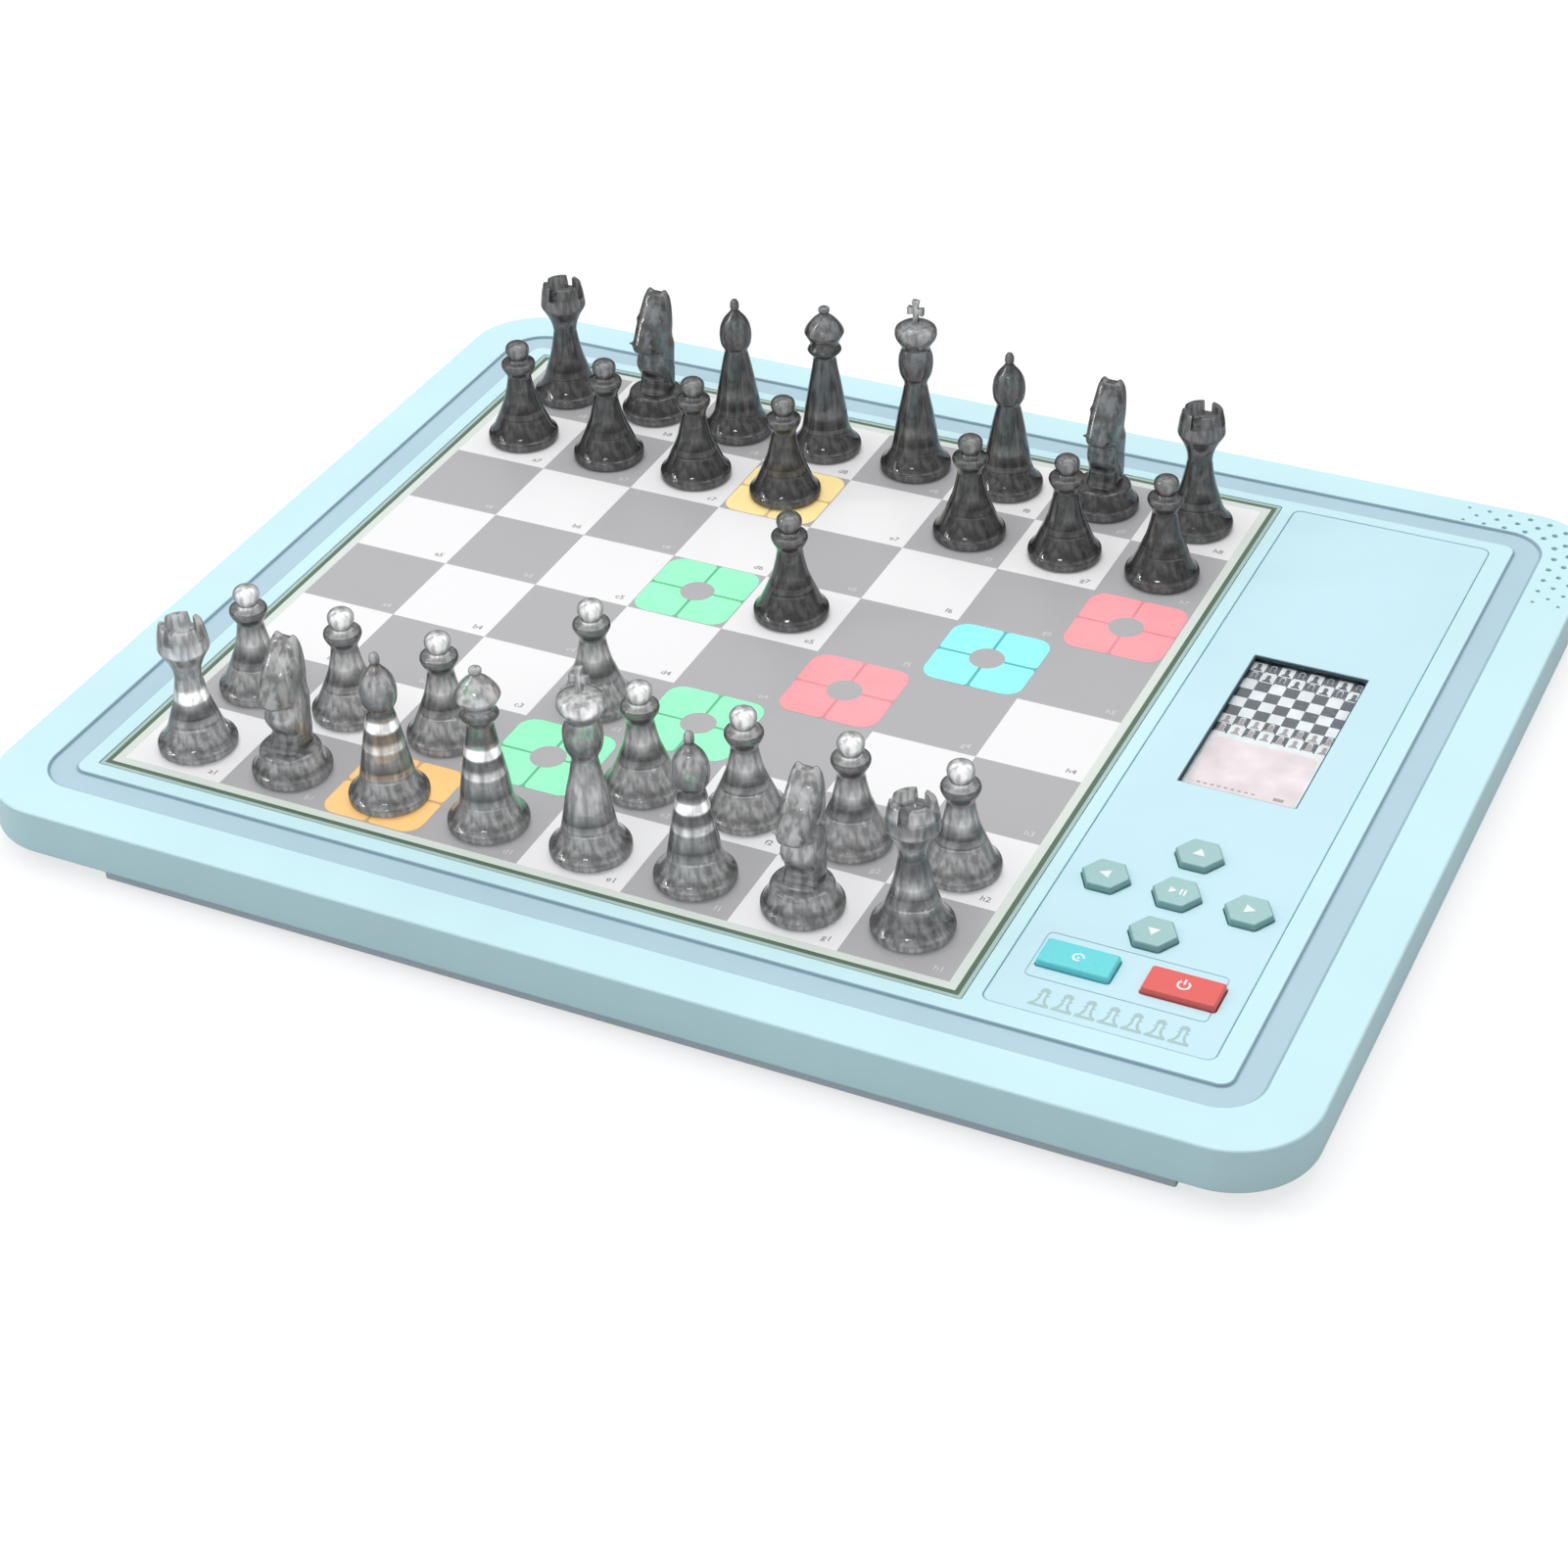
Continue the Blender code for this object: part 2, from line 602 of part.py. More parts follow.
def make_battery_pack(surface):
    width, depth, height = BATTERY_SIZE
    bm = bmesh.new()
    middle = (FIELD_CENTRE[0], FIELD_CENTRE[1])
    rings = [(1.0 * MM, 0.0), (0.0, 1.0 * MM), (0.0, height - MM), (1.0 * MM, height)]
    add_loft(bm, [(rounded_outline(width - 2 * inset, depth - 2 * inset, 3 * MM, middle, steps=3),
                   FLOOR_Z + GAP + z) for inset, z in rings])
    return as_object("battery_pack", bm, surface)


def make_usb_socket(surface):
    width, depth, height = SOCKET_SIZE
    mouth_y = BODY_DEPTH / 2 - 0.8 * MM
    middle = (PANEL_CENTRE[0], mouth_y - depth / 2)
    low = BOARD_TOP_Z + GAP
    bm = bmesh.new()
    add_prism(bm, centred_box((width, depth), middle), low, low + height)
    socket = as_object("usb_socket", bm, surface)
    mouth = bmesh.new()
    inside = (width - 0.7 * MM, 2 * (depth - MM))
    add_prism(mouth, centred_box(inside, (middle[0], mouth_y)), low + 0.35 * MM, low + height - 0.35 * MM)
    cut(socket, mouth, "socket_mouth_cutter")
    return socket


def make_foot(index, surface):
    bm = bmesh.new()
    add_turned(bm, [(0.0, 0.0), (FOOT_RADIUS - 0.5 * MM, 0.0), (FOOT_RADIUS, 0.5 * MM),
                    (FOOT_RADIUS, FOOT_HEIGHT), (0.0, FOOT_HEIGHT)], steps=16)
    return as_object(f"rubber_foot_{index + 1}", bm, surface, (*FOOT_PLACES[index], 0.0))


def make_screw(index, surface):
    bm = bmesh.new()
    add_turned(bm, stepped_profile([(2.7 * MM, 1.5 * MM, 2.7 * MM), (1.25 * MM, 2.7 * MM, 13.0 * MM)]),
               steps=10)
    return as_object(f"case_screw_{index + 1}", bm, surface, (*SCREW_PLACES[index], 0.0))


# ---------------------------------------------------------------- chess pieces

# Bell-shaped base that every piece shares, as (radius, height) in mm, from the axis outwards
BASE = [(0.0, 0.0), (11.0, 0.0), (11.6, 0.8), (11.4, 2.4), (9.6, 4.2)]
PROFILES = {
    "pawn": BASE + [(8.4, 7.2), (7.2, 10.4), (5.4, 15.2), (4.0, 22.2), (5.5, 26.6), (5.2, 28.0),
                    (2.9, 29.0), (3.8, 32.0), (2.6, 34.3), (0.0, 35.0)],
    "rook": BASE + [(8.0, 7.2), (7.1, 10.2), (5.6, 15.2), (3.8, 24.0), (5.2, 29.4), (7.4, 33.4),
                    (7.3, 35.2), (6.2, 41.5), (0.0, 41.5)],
    "knight": BASE + [(9.0, 5.8), (8.9, 8.0), (0.0, 8.0)],
    "bishop": BASE + [(8.1, 7.2), (7.4, 10.2), (5.7, 20.0), (3.7, 29.4), (4.8, 31.8), (5.3, 35.8),
                      (4.5, 39.6), (2.6, 42.4), (1.2, 44.2), (1.3, 46.6), (0.0, 48.0)],
    "queen": BASE + [(8.1, 7.2), (7.4, 10.2), (6.0, 20.0), (3.7, 33.8), (5.5, 36.0), (5.5, 36.9),
                     (4.5, 38.5), (6.4, 42.4), (5.5, 44.8), (1.6, 48.9), (1.7, 50.4), (0.0, 51.6)],
    "king": BASE + [(8.1, 7.2), (7.4, 10.2), (5.9, 20.0), (3.7, 30.9), (4.9, 34.0), (5.6, 38.0),
                    (5.3, 41.4), (4.3, 43.4), (6.8, 48.2), (6.4, 50.3), (4.6, 51.7), (1.5, 52.4),
                    (1.3, 60.0), (0.0, 60.0)],
}
# Side view of the horse's head and neck in mm: forward of the piece's axis, height
HORSE = [(-6.2, 7.0), (-6.4, 14.0), (-7.4, 22.0), (-8.1, 30.0), (-7.8, 36.0), (-6.6, 41.4), (-5.2, 43.4),
         (-3.4, 43.0), (-0.8, 40.0), (3.8, 35.2), (7.2, 30.6), (9.5, 27.8), (9.5, 25.6), (7.4, 24.8),
         (4.4, 24.2), (4.6, 22.4), (5.9, 20.0), (5.4, 17.2), (2.8, 13.8), (3.4, 10.2), (5.4, 7.0)]
START = {
    "rook": ("a1 h1", "a8 h8"),
    "knight": ("b1 g1", "b8 g8"),
    "bishop": ("c1 f1", "c8 f8"),
    "queen": ("d1", "d8"),
    "king": ("e1", "e8"),
    "pawn": ("a2 b2 c2 d3 e2 f2 g2 h2", "a7 b7 c7 d7 e5 f7 g7 h7"),
}
# How far each set stands off the middles of its squares in mm, and the pieces that differ
STANDING = {"clear": (0.0, -2.2), "smoke": (0.0, 0.0)}
OFF_CENTRE = {"h1": (-1.4, 0.8), "b8": (1.1, 0.5), "g8": (0.6, 0.3)}


def piece_place(side, square):
    column, row = "abcdefgh".index(square[0]), int(square[1]) - 1
    off_x, off_y = OFF_CENTRE.get(square, STANDING[side])
    return (FIELD_X + (column + 0.5) * SQUARE + off_x * MM, FIELD_Y + (row + 0.5) * SQUARE + off_y * MM,
            PIECE_GAP_Z)


def crenel_cutter():
    """Bore and two crossing slots that leave four merlons on a rook's crown."""
    bm = bmesh.new()
    add_prism(bm, regular_outline(4.3 * MM, 12), CRENEL_FLOOR_Z, 43.0 * MM)
    cross = as_object("crenel_cutter", bm)
    for name, size in (("slot_across", (20 * MM, 3 * MM)), ("slot_along", (3 * MM, 20 * MM))):
        slot = bmesh.new()
        add_prism(slot, centred_box(size), CRENEL_FLOOR_Z, 43.0 * MM)
        join(cross, slot, name)
    return cross


def horse_head():
    """Head and neck facing the near side, narrower at the ears than at the neck."""
    bm = bmesh.new()
    sides = []
    for side in (-1, 1):
        row = []
        for forward, height in HORSE:
            slim = 1 - 0.2 * height / 44
            row.append(bm.verts.new((side * HORSE_THICK / 2 * slim, -forward * MM, height * MM)))
        sides.append(row)
    count = len(HORSE)
    for i in range(count):
        j = (i + 1) % count
        bm.faces.new((sides[0][i], sides[0][j], sides[1][j], sides[1][i]))
    for row in sides:
        bm.faces.new(row)
    bmesh.ops.triangulate(bm, faces=[face for face in bm.faces if len(face.verts) > 4])
    return bm


def piece_mesh(kind):
    """The finished mesh of one kind of piece, its Booleans applied."""
    bm = bmesh.new()
    add_turned(bm, [(radius * MM, z * MM) for radius, z in PROFILES[kind]])
    blank = as_object(kind + "_blank", bm)
    if kind == "rook":
        combine(blank, crenel_cutter(), "DIFFERENCE")
    elif kind == "knight":
        join(blank, horse_head(), "horse_head")
        blank.modifiers["horse_head"].solver = "MANIFOLD"
    elif kind == "king":
        arms = bmesh.new()
        add_prism(arms, centred_box((6.0 * MM, 2.0 * MM)), 55.0 * MM, 57.4 * MM)
        join(blank, arms, "cross_arms")
    finished = blank.evaluated_get(bpy.context.evaluated_depsgraph_get())
    mesh = bpy.data.meshes.new_from_object(finished)
    mesh.name = kind
    for leftover in [blank] + [step.object for step in blank.modifiers]:
        bpy.data.objects.remove(leftover)
    return mesh


def make_pieces(surfaces):
    for kind, sides in START.items():
        shape = piece_mesh(kind)
        for side, squares in zip(("clear", "smoke"), sides):
            mesh = shape.copy()
            for square in squares.split():
                name = f"{side}_{kind}_{square}"
                smooth(place_mesh(name, mesh, surfaces[side], piece_place(side, square)))


# ---------------------------------------------------------------- the whole object


def main():
    for obj in list(bpy.data.objects):
        bpy.data.objects.remove(obj)
    surfaces = make_materials()
    smooth(make_top_cover(surfaces["cover"]))
    smooth(make_bottom_cover(surfaces["pan"]))
    make_playing_surface(surfaces["sheet"])
    make_light_guide_grid(surfaces["grid"])
    sensor_posts, control_posts = board_posts()
    sensor_outline = centred_box((SENSOR_BOARD_SIZE, SENSOR_BOARD_SIZE), FIELD_CENTRE)
    make_circuit_board("sensor_board", sensor_outline, sensor_posts, surfaces["circuit"])
    half = CONTROL_BOARD_WIDTH / 2
    control_outline = box_outline((PANEL_CENTRE[0] - half, CONTROL_BOARD_ENDS[0]),
                                  (PANEL_CENTRE[0] + half, CONTROL_BOARD_ENDS[1]))
    make_circuit_board("control_board", control_outline, control_posts, surfaces["circuit"])
    make_control_panel(surfaces["panel"])
    make_display(surfaces)
    for name, place in HEX_KEYS.items():
        make_key(name, place, hex_key_outline, surfaces["hex"])
    for name, place in BAR_KEYS.items():
        make_key(name, place, bar_key_outline, surfaces[name.split("_")[0]])
    make_key_mat(surfaces["mat"])
    smooth(make_speaker(surfaces["speaker"]))
    make_battery_pack(surfaces["battery"])
    make_usb_socket(surfaces["steel"])
    for index in range(4):
        smooth(make_foot(index, surfaces["rubber"]))
        smooth(make_screw(index, surfaces["steel"]))
    make_pieces(surfaces)


main()
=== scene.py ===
"""Looks of the electronic chess computer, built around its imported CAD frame.

Metres, +Z up, in the frame of the CAD. The near side is -Y and the key panel is on the right.
"""
import math

import bmesh
import bpy
from mathutils import Matrix, Vector


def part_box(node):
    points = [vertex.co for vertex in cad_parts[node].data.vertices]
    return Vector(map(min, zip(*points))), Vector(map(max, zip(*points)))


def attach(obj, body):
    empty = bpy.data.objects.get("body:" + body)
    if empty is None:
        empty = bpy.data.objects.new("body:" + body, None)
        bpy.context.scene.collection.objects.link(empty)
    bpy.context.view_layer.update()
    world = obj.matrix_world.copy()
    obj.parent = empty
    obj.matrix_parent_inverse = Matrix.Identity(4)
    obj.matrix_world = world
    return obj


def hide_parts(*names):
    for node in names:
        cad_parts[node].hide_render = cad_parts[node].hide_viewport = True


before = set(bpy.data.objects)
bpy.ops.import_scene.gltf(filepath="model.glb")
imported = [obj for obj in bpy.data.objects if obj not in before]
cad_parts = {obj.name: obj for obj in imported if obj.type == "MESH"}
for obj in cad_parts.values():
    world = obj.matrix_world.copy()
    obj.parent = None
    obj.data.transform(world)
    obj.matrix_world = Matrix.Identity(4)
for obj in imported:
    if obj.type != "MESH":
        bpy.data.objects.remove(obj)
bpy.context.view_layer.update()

MM = 0.001
FILES = "abcdefgh"
SQUARE = 32.0 * MM
FIELD = 8 * SQUARE
SHEET_LOW, SHEET_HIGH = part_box("playing_surface")
SHEET_TOP = SHEET_HIGH.z
FIELD_X = (SHEET_LOW.x + SHEET_HIGH.x - FIELD) / 2
FIELD_Y = (SHEET_LOW.y + SHEET_HIGH.y - FIELD) / 2
COVER_LOW, COVER_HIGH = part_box("top_cover")
COVER_TOP = COVER_HIGH.z
PAN_LOW, PAN_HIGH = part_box("bottom_cover")
PANEL_LOW, PANEL_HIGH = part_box("control_panel")
PANEL_TOP = PANEL_HIGH.z
GAP = 0.3 * MM
PRINT = 0.03 * MM  # thickness of ink
BODY_RADIUS = 24.0 * MM
HEX_KEYS = ("up_key", "down_key", "left_key", "right_key", "centre_key")
BAR_KEYS = ("cyan_key", "red_key")


def node_centre(node):
    low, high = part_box(node)
    return (low + high) / 2


def srgb(*levels):
    """Linear colour of an sRGB colour given in 0 to 255."""
    out = []
    for level in levels:
        v = level / 255
        out.append(v / 12.92 if v <= 0.04045 else ((v + 0.055) / 1.055) ** 2.4)
    return tuple(out)


# ---------------------------------------------------------------- outlines and meshes


def rounded_box(width, depth, radius, centre=(0.0, 0.0), steps=20):
    """A rectangle with round corners, anticlockwise."""
    points = []
    for corner, (sx, sy) in enumerate(((1, 1), (-1, 1), (-1, -1), (1, -1))):
        cx = centre[0] + sx * (width / 2 - radius)
        cy = centre[1] + sy * (depth / 2 - radius)
        for step in range(steps + 1):
            turn = math.pi / 2 * (corner + step / steps)
            points.append((cx + radius * math.cos(turn), cy + radius * math.sin(turn)))
    return points


def circle(radius, steps, centre=(0.0, 0.0)):
    angles = [2 * math.pi * step / steps for step in range(steps)]
    return [(centre[0] + radius * math.cos(a), centre[1] + radius * math.sin(a)) for a in angles]


def rounded_hexagon(radius, corner, steps=5):
    """A hexagon with corners on the X axis; radius is to where its sides would meet."""
    points = []
    reach = radius - corner / math.cos(math.pi / 6)
    for side in range(6):
        middle = math.pi / 3 * side
        cx, cy = reach * math.cos(middle), reach * math.sin(middle)
        for step in range(steps + 1):
            turn = middle + math.pi / 3 * (step / steps - 0.5)
            points.append((cx + corner * math.cos(turn), cy + corner * math.sin(turn)))
    return points


def moved(outline, place):
    return [(x + place[0], y + place[1]) for x, y in outline]


def rows_of(bm, rings):
    return [[bm.verts.new((x, y, z)) for x, y in outline] for outline, z in rings]


def bridge(bm, lower, upper, material=0):
    count = len(lower)
    for i in range(count):
        j = (i + 1) % count
        face = bm.faces.new((lower[i], lower[j], upper[j], upper[i]))
        face.material_index = material


def add_loft(bm, rings, material=0):
    """Closed solid through outlines stacked upwards: rings is a list of (outline, z)."""
    rows = rows_of(bm, rings)
    for lower, upper in zip(rows, rows[1:]):
        bridge(bm, lower, upper, material)
    bm.faces.new(reversed(rows[0])).material_index = material
    bm.faces.new(rows[-1]).material_index = material


def add_prism(bm, outline, low, high, material=0):
    add_loft(bm, [(outline, low), (outline, high)], material)


def add_ring(bm, section, material=0):
    """Closed frame whose cross-section is a loop of (outline, z)."""
    rows = rows_of(bm, section)
    for first, second in zip(rows, rows[1:] + rows[:1]):
        bridge(bm, first, second, material)


def add_frame(bm, outer, inner, low, high, material=0):
    add_ring(bm, [(outer, low), (outer, high), (inner, high), (inner, low)], material)


def add_turned(bm, profile, steps, centre=(0.0, 0.0)):
    """Solid turned about Z from (radius, z) points that start and end on the axis."""
    bottom = bm.verts.new((*centre, profile[0][1]))
    top = bm.verts.new((*centre, profile[-1][1]))
    rows = rows_of(bm, [(circle(radius, steps, centre), z) for radius, z in profile[1:-1]])
    for lower, upper in zip(rows, rows[1:]):
        bridge(bm, lower, upper)
    for i in range(steps):
        j = (i + 1) % steps
        bm.faces.new((bottom, rows[0][j], rows[0][i]))
        bm.faces.new((top, rows[-1][i], rows[-1][j]))


def as_object(name, bm, *materials):
    bmesh.ops.recalc_face_normals(bm, faces=bm.faces)
    mesh = bpy.data.meshes.new(name)
    bm.to_mesh(mesh)
    bm.free()
    for material in materials:
        mesh.materials.append(material)
    obj = bpy.data.objects.new(name, mesh)
    bpy.context.scene.collection.objects.link(obj)
    return obj


def boolean(target, tool, operation="DIFFERENCE", solver="EXACT"):
    step = target.modifiers.new(tool.name, "BOOLEAN")
    step.operation = operation
    step.object = tool
    step.solver = solver
    step.material_mode = "TRANSFER"


def freeze(obj):
    """Apply the modifiers and remove the tools that they used."""
    tools = [step.object for step in obj.modifiers if step.type == "BOOLEAN"]
    finished = obj.evaluated_get(bpy.context.evaluated_depsgraph_get())
    mesh = bpy.data.meshes.new_from_object(finished)
    obj.modifiers.clear()
    obj.data = mesh
    for tool in tools:
        bpy.data.objects.remove(tool)
    return obj


def smooth(obj, angle=35.0):
    obj.data.shade_smooth()
    obj.data.set_sharp_from_angle(angle=math.radians(angle))
    return obj


def keep_flats(obj):
    """Shading normals that follow the large faces, so that flats stay flat beside rounded edges."""
    step = obj.modifiers.new("face_weighted_normals", "WEIGHTED_NORMAL")
    step.keep_sharp = True
    step.weight = 100
    return obj


def settle(obj, body, slot, *nodes):
    """Ride on a body and stand for CAD nodes; slot is not used."""
    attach(obj, body)
    if nodes:
        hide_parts(*nodes)
    return obj


def quarter(radius, steps):
    """(inwards, upwards) steps of a round edge, from its side to its top."""
    turns = [math.pi / 2 * step / steps for step in range(steps + 1)]
    return [(radius * (1 - math.cos(turn)), radius * math.sin(turn)) for turn in turns]


# ---------------------------------------------------------------- materials


class Nodes:
    """A new material and short calls that add nodes to it."""

    def __init__(self, name):
        self.material = bpy.data.materials.new(name)
        self.material.use_nodes = True
        self.tree = self.material.node_tree
        self.shader = self.tree.nodes["Principled BSDF"]
        self.output = self.tree.nodes["Material Output"]
        self.place = self.add("ShaderNodeTexCoord").outputs["Object"]

    def add(self, kind, **settings):
        node = self.tree.nodes.new(kind)
        for key, value in settings.items():
            setattr(node, key, value)
        return node

    def link(self, source, target):
        self.tree.links.new(source, target)

    def noise(self, size, detail=3.0, vector=None):
        """Noise whose features are about that many metres wide."""
        node = self.add("ShaderNodeTexNoise")
        node.inputs["Scale"].default_value = 1 / size
        node.inputs["Detail"].default_value = detail
        self.link(vector or self.place, node.inputs["Vector"])
        return node.outputs["Fac"]

    def ranged(self, value, low, high, source_low=0.3, source_high=0.7):
        node = self.add("ShaderNodeMapRange")
        self.link(value, node.inputs["Value"])
        node.inputs["From Min"].default_value = source_low
        node.inputs["From Max"].default_value = source_high
        node.inputs["To Min"].default_value = low
        node.inputs["To Max"].default_value = high
        return node.outputs["Result"]

    def times(self, first, second):
        node = self.add("ShaderNodeMath", operation="MULTIPLY")
        self.link(first, node.inputs[0])
        self.link(second, node.inputs[1])
        return node.outputs["Value"]

    def mixed(self, factor, first, second):
        """Colour between two colours; a colour is a tuple or a socket."""
        node = self.add("ShaderNodeMix", data_type="RGBA")
        self.link(factor, node.inputs["Factor"])
        for colour, socket in ((first, node.inputs[6]), (second, node.inputs[7])):
            if isinstance(colour, tuple):
                socket.default_value = (*colour, 1.0)
            else:
                self.link(colour, socket)
        return node.outputs[2]

    def bump(self, height, distance, strength=1.0):
        node = self.add("ShaderNodeBump")
        node.inputs["Strength"].default_value = strength
        node.inputs["Distance"].default_value = distance
        self.link(height, node.inputs["Height"])
        self.link(node.outputs["Normal"], self.shader.inputs["Normal"])

    def set(self, **values):
        for key, value in values.items():
            socket = self.shader.inputs[key.replace("_", " ")]
            if isinstance(value, (int, float, tuple)):
                socket.default_value = (*value, 1.0) if isinstance(value, tuple) else value
            else:
                self.link(value, socket)


def scaled(colour, factor):
    return tuple(min(1.0, level * factor) for level in colour)


def moulded(name, colour, roughness=0.42, drift=0.03, grain=0.35 * MM, relief=0.008 * MM, coat=0.0):
    """Satin moulded plastic: fine grain, faint flow marks and uneven sheen."""
    n = Nodes(name)
    flow = n.ranged(n.noise(60 * MM, 4.0), 0.0, 1.0)
    fine = n.noise(grain, 2.0)
    tone = n.mixed(flow, scaled(colour, 1 - drift), scaled(colour, 1 + drift))
    n.set(Base_Color=tone, Roughness=n.ranged(n.noise(9 * MM), roughness - 0.05, roughness + 0.05))
    n.shader.inputs["Coat Weight"].default_value = coat
    n.bump(fine, relief)
    return n.material


def printed(name, colour, roughness=0.34, drift=0.015):
    """Screen print under a matt film."""
    n = Nodes(name)
    speck = n.ranged(n.noise(0.6 * MM, 5.0), 0.0, 1.0)
    n.set(Base_Color=n.mixed(speck, scaled(colour, 1 - drift), scaled(colour, 1 + drift)))
    n.set(Roughness=n.ranged(n.noise(14 * MM), roughness - 0.04, roughness + 0.05))
    n.bump(n.noise(0.25 * MM, 2.0), 0.003 * MM)
    return n.material


def lit(name, colour, glow=0.25):
    """Print that is lit from behind, a little uneven."""
    n = Nodes(name)
    cloud = n.ranged(n.noise(7 * MM, 2.0), 0.0, 1.0)
    tone = n.mixed(cloud, scaled(colour, 0.93), colour)
    n.set(Base_Color=tone, Emission_Color=tone, Roughness=0.35, Emission_Strength=glow)
    n.bump(n.noise(0.25 * MM, 2.0), 0.003 * MM)
    return n.material


def acrylic(name, face, edge, roughness=0.012, shadow=0.8, cloud=0.0, levels=None, rim=0.5):
    """Solid moulded acrylic, darker where it is seen edge-on; shadows are let through.

    levels gives the painted light and shade at each height in millimetres, seen by camera rays: painted
    highlights, which glow a little, where it is high and painted shade where it is low. The darkening
    edge-on is a painted dark outline. cloud is the least share of that painted core over the glass, and
    rim how much of the painted light is left edge-on.
    """
    n = Nodes(name)
    slant = n.add("ShaderNodeLayerWeight")
    slant.inputs["Blend"].default_value = 0.5
    slant = slant.outputs["Facing"]
    path = n.add("ShaderNodeLightPath")
    # Painted dark outline where the acrylic is seen edge-on.
    tone = n.mixed(n.ranged(slant, 0.0, 1.0, 0.15, 0.75), face, edge)
    n.set(Transmission_Weight=1.0, IOR=1.49)
    n.set(Roughness=n.ranged(n.noise(3 * MM), roughness, roughness * 3))
    n.bump(n.noise(3.5 * MM, 3.0), 0.08 * MM, 0.45)
    seen = n.shader.outputs["BSDF"]
    if levels is None:
        n.set(Base_Color=n.mixed(n.ranged(n.noise(9 * MM, 3.0), 0.88, 1.0), (0.0, 0.0, 0.0), tone))
    else:
        split = n.add("ShaderNodeSeparateXYZ")
        n.link(n.place, split.inputs["Vector"])
        ramp = n.add("ShaderNodeValToRGB")
        n.link(n.ranged(split.outputs["Z"], 0.0, 1.0, 0.0, 60 * MM), ramp.inputs["Fac"])
        stops = ramp.color_ramp.elements
        stops.remove(stops[1])
        for index, (height, level) in enumerate(levels):
            stop = stops[0] if index == 0 else stops.new(height / 60)
            stop.position, stop.color = height / 60, (*[level ** 2.2] * 3, 1.0)
        ramp = ramp.outputs["Color"]
        middle = sum(level for _, level in levels) / len(levels)
        stretched = n.add("ShaderNodeVectorMath", operation="MULTIPLY")
        n.link(n.place, stretched.inputs[0])
        stretched.inputs[1].default_value = (1.0, 1.0, 0.3)
        # Vertical streaks in the painted light and shade.
        streaks = n.ranged(n.noise(2.0 * MM, 1.5, stretched.outputs["Vector"]), 0.60, 1.40, 0.38, 0.62)
        # The glass is painted darker in the dark bands, for camera rays.
        painted_glass_shade = n.times(n.ranged(ramp, 0.35, 1.0, 0.10, 0.33), streaks)
        n.set(Base_Color=n.mixed(n.mixed(path.outputs["Is Camera Ray"], (0.95,) * 3, painted_glass_shade),
                                 (0.0, 0.0, 0.0), tone))
        # Painted highlights and shade by height for camera rays; other rays see one even level.
        painted_light = n.mixed(path.outputs["Is Camera Ray"], (middle ** 2.2,) * 3, ramp)
        shade = n.add("ShaderNodeVectorMath", operation="SCALE")
        n.link(painted_light, shade.inputs[0])
        n.link(n.times(streaks, n.ranged(slant, 1.0, rim, 0.22, 0.62)), shade.inputs["Scale"])
        painted_core = n.add("ShaderNodeBsdfPrincipled")
        painted_core.inputs["Roughness"].default_value = 0.1
        n.link(shade.outputs["Vector"], painted_core.inputs["Base Color"])
        n.link(shade.outputs["Vector"], painted_core.inputs["Emission Color"])
        # The painted highlights glow a little.
        n.link(n.ranged(ramp, 0.45, 0.85, 0.15, 0.6), painted_core.inputs["Emission Strength"])
        # The painted core covers more of the glass where the levels are high.
        blend = n.add("ShaderNodeMixShader")
        n.link(n.ranged(ramp, cloud, 0.9, 0.45, 0.80), blend.inputs["Fac"])
        n.link(seen, blend.inputs[1])
        n.link(painted_core.outputs["BSDF"], blend.inputs[2])
        seen = blend.outputs["Shader"]
    through = n.add("ShaderNodeBsdfTransparent")
    through.inputs["Color"].default_value = (*[shadow * min(1.0, level + 0.1) for level in face], 1.0)
    choose = n.add("ShaderNodeMixShader")
    n.link(path.outputs["Is Shadow Ray"], choose.inputs["Fac"])
    n.link(seen, choose.inputs[1])
    n.link(through.outputs["BSDF"], choose.inputs[2])
    n.link(choose.outputs["Shader"], n.output.inputs["Surface"])
    return n.material


def metal(name, colour, roughness=0.3, brushed=0.4 * MM):
    n = Nodes(name)
    rub = n.noise(brushed, 4.0)
    n.set(Base_Color=n.mixed(rub, scaled(colour, 0.85), colour), Metallic=1.0)
    n.set(Roughness=n.ranged(rub, roughness - 0.08, roughness + 0.1))
    n.bump(rub, 0.004 * MM)
    return n.material


def rubbery(name, colour, roughness=0.85):
    n = Nodes(name)
    dust = n.ranged(n.noise(2.5 * MM, 6.0), 0.0, 1.0)
    n.set(Base_Color=n.mixed(dust, colour, scaled(colour, 1.35)), Roughness=roughness)
    n.bump(n.noise(0.5 * MM, 4.0), 0.03 * MM)
    return n.material


def circuit(name):
    """Solder mask with tracks, from a fine grid of bricks."""
    n = Nodes(name)
    tracks = n.add("ShaderNodeTexBrick")
    tracks.inputs["Scale"].default_value = 160.0
    tracks.inputs["Mortar Size"].default_value = 0.03
    n.link(n.place, tracks.inputs["Vector"])
    n.set(Base_Color=n.mixed(tracks.outputs["Fac"], srgb(24, 96, 62), srgb(70, 140, 96)), Roughness=0.4)
    n.bump(tracks.outputs["Fac"], 0.02 * MM)
    return n.material


COVER_TONE = srgb(209, 246, 251)
PANEL_TONE = srgb(206, 241, 250)
CHANNEL_TONE = srgb(184, 213, 226)
cover_plastic = moulded("cover_plastic", COVER_TONE)
channel_plastic = moulded("channel_plastic", CHANNEL_TONE)
# Painted shade for the channel's lips and walls.
channel_painted_shade_plastic = moulded("channel_painted_shade_plastic", srgb(160, 190, 204))
pan_plastic = moulded("pan_plastic", srgb(196, 210, 218), 0.5)
panel_plastic = moulded("panel_plastic", PANEL_TONE, 0.36)
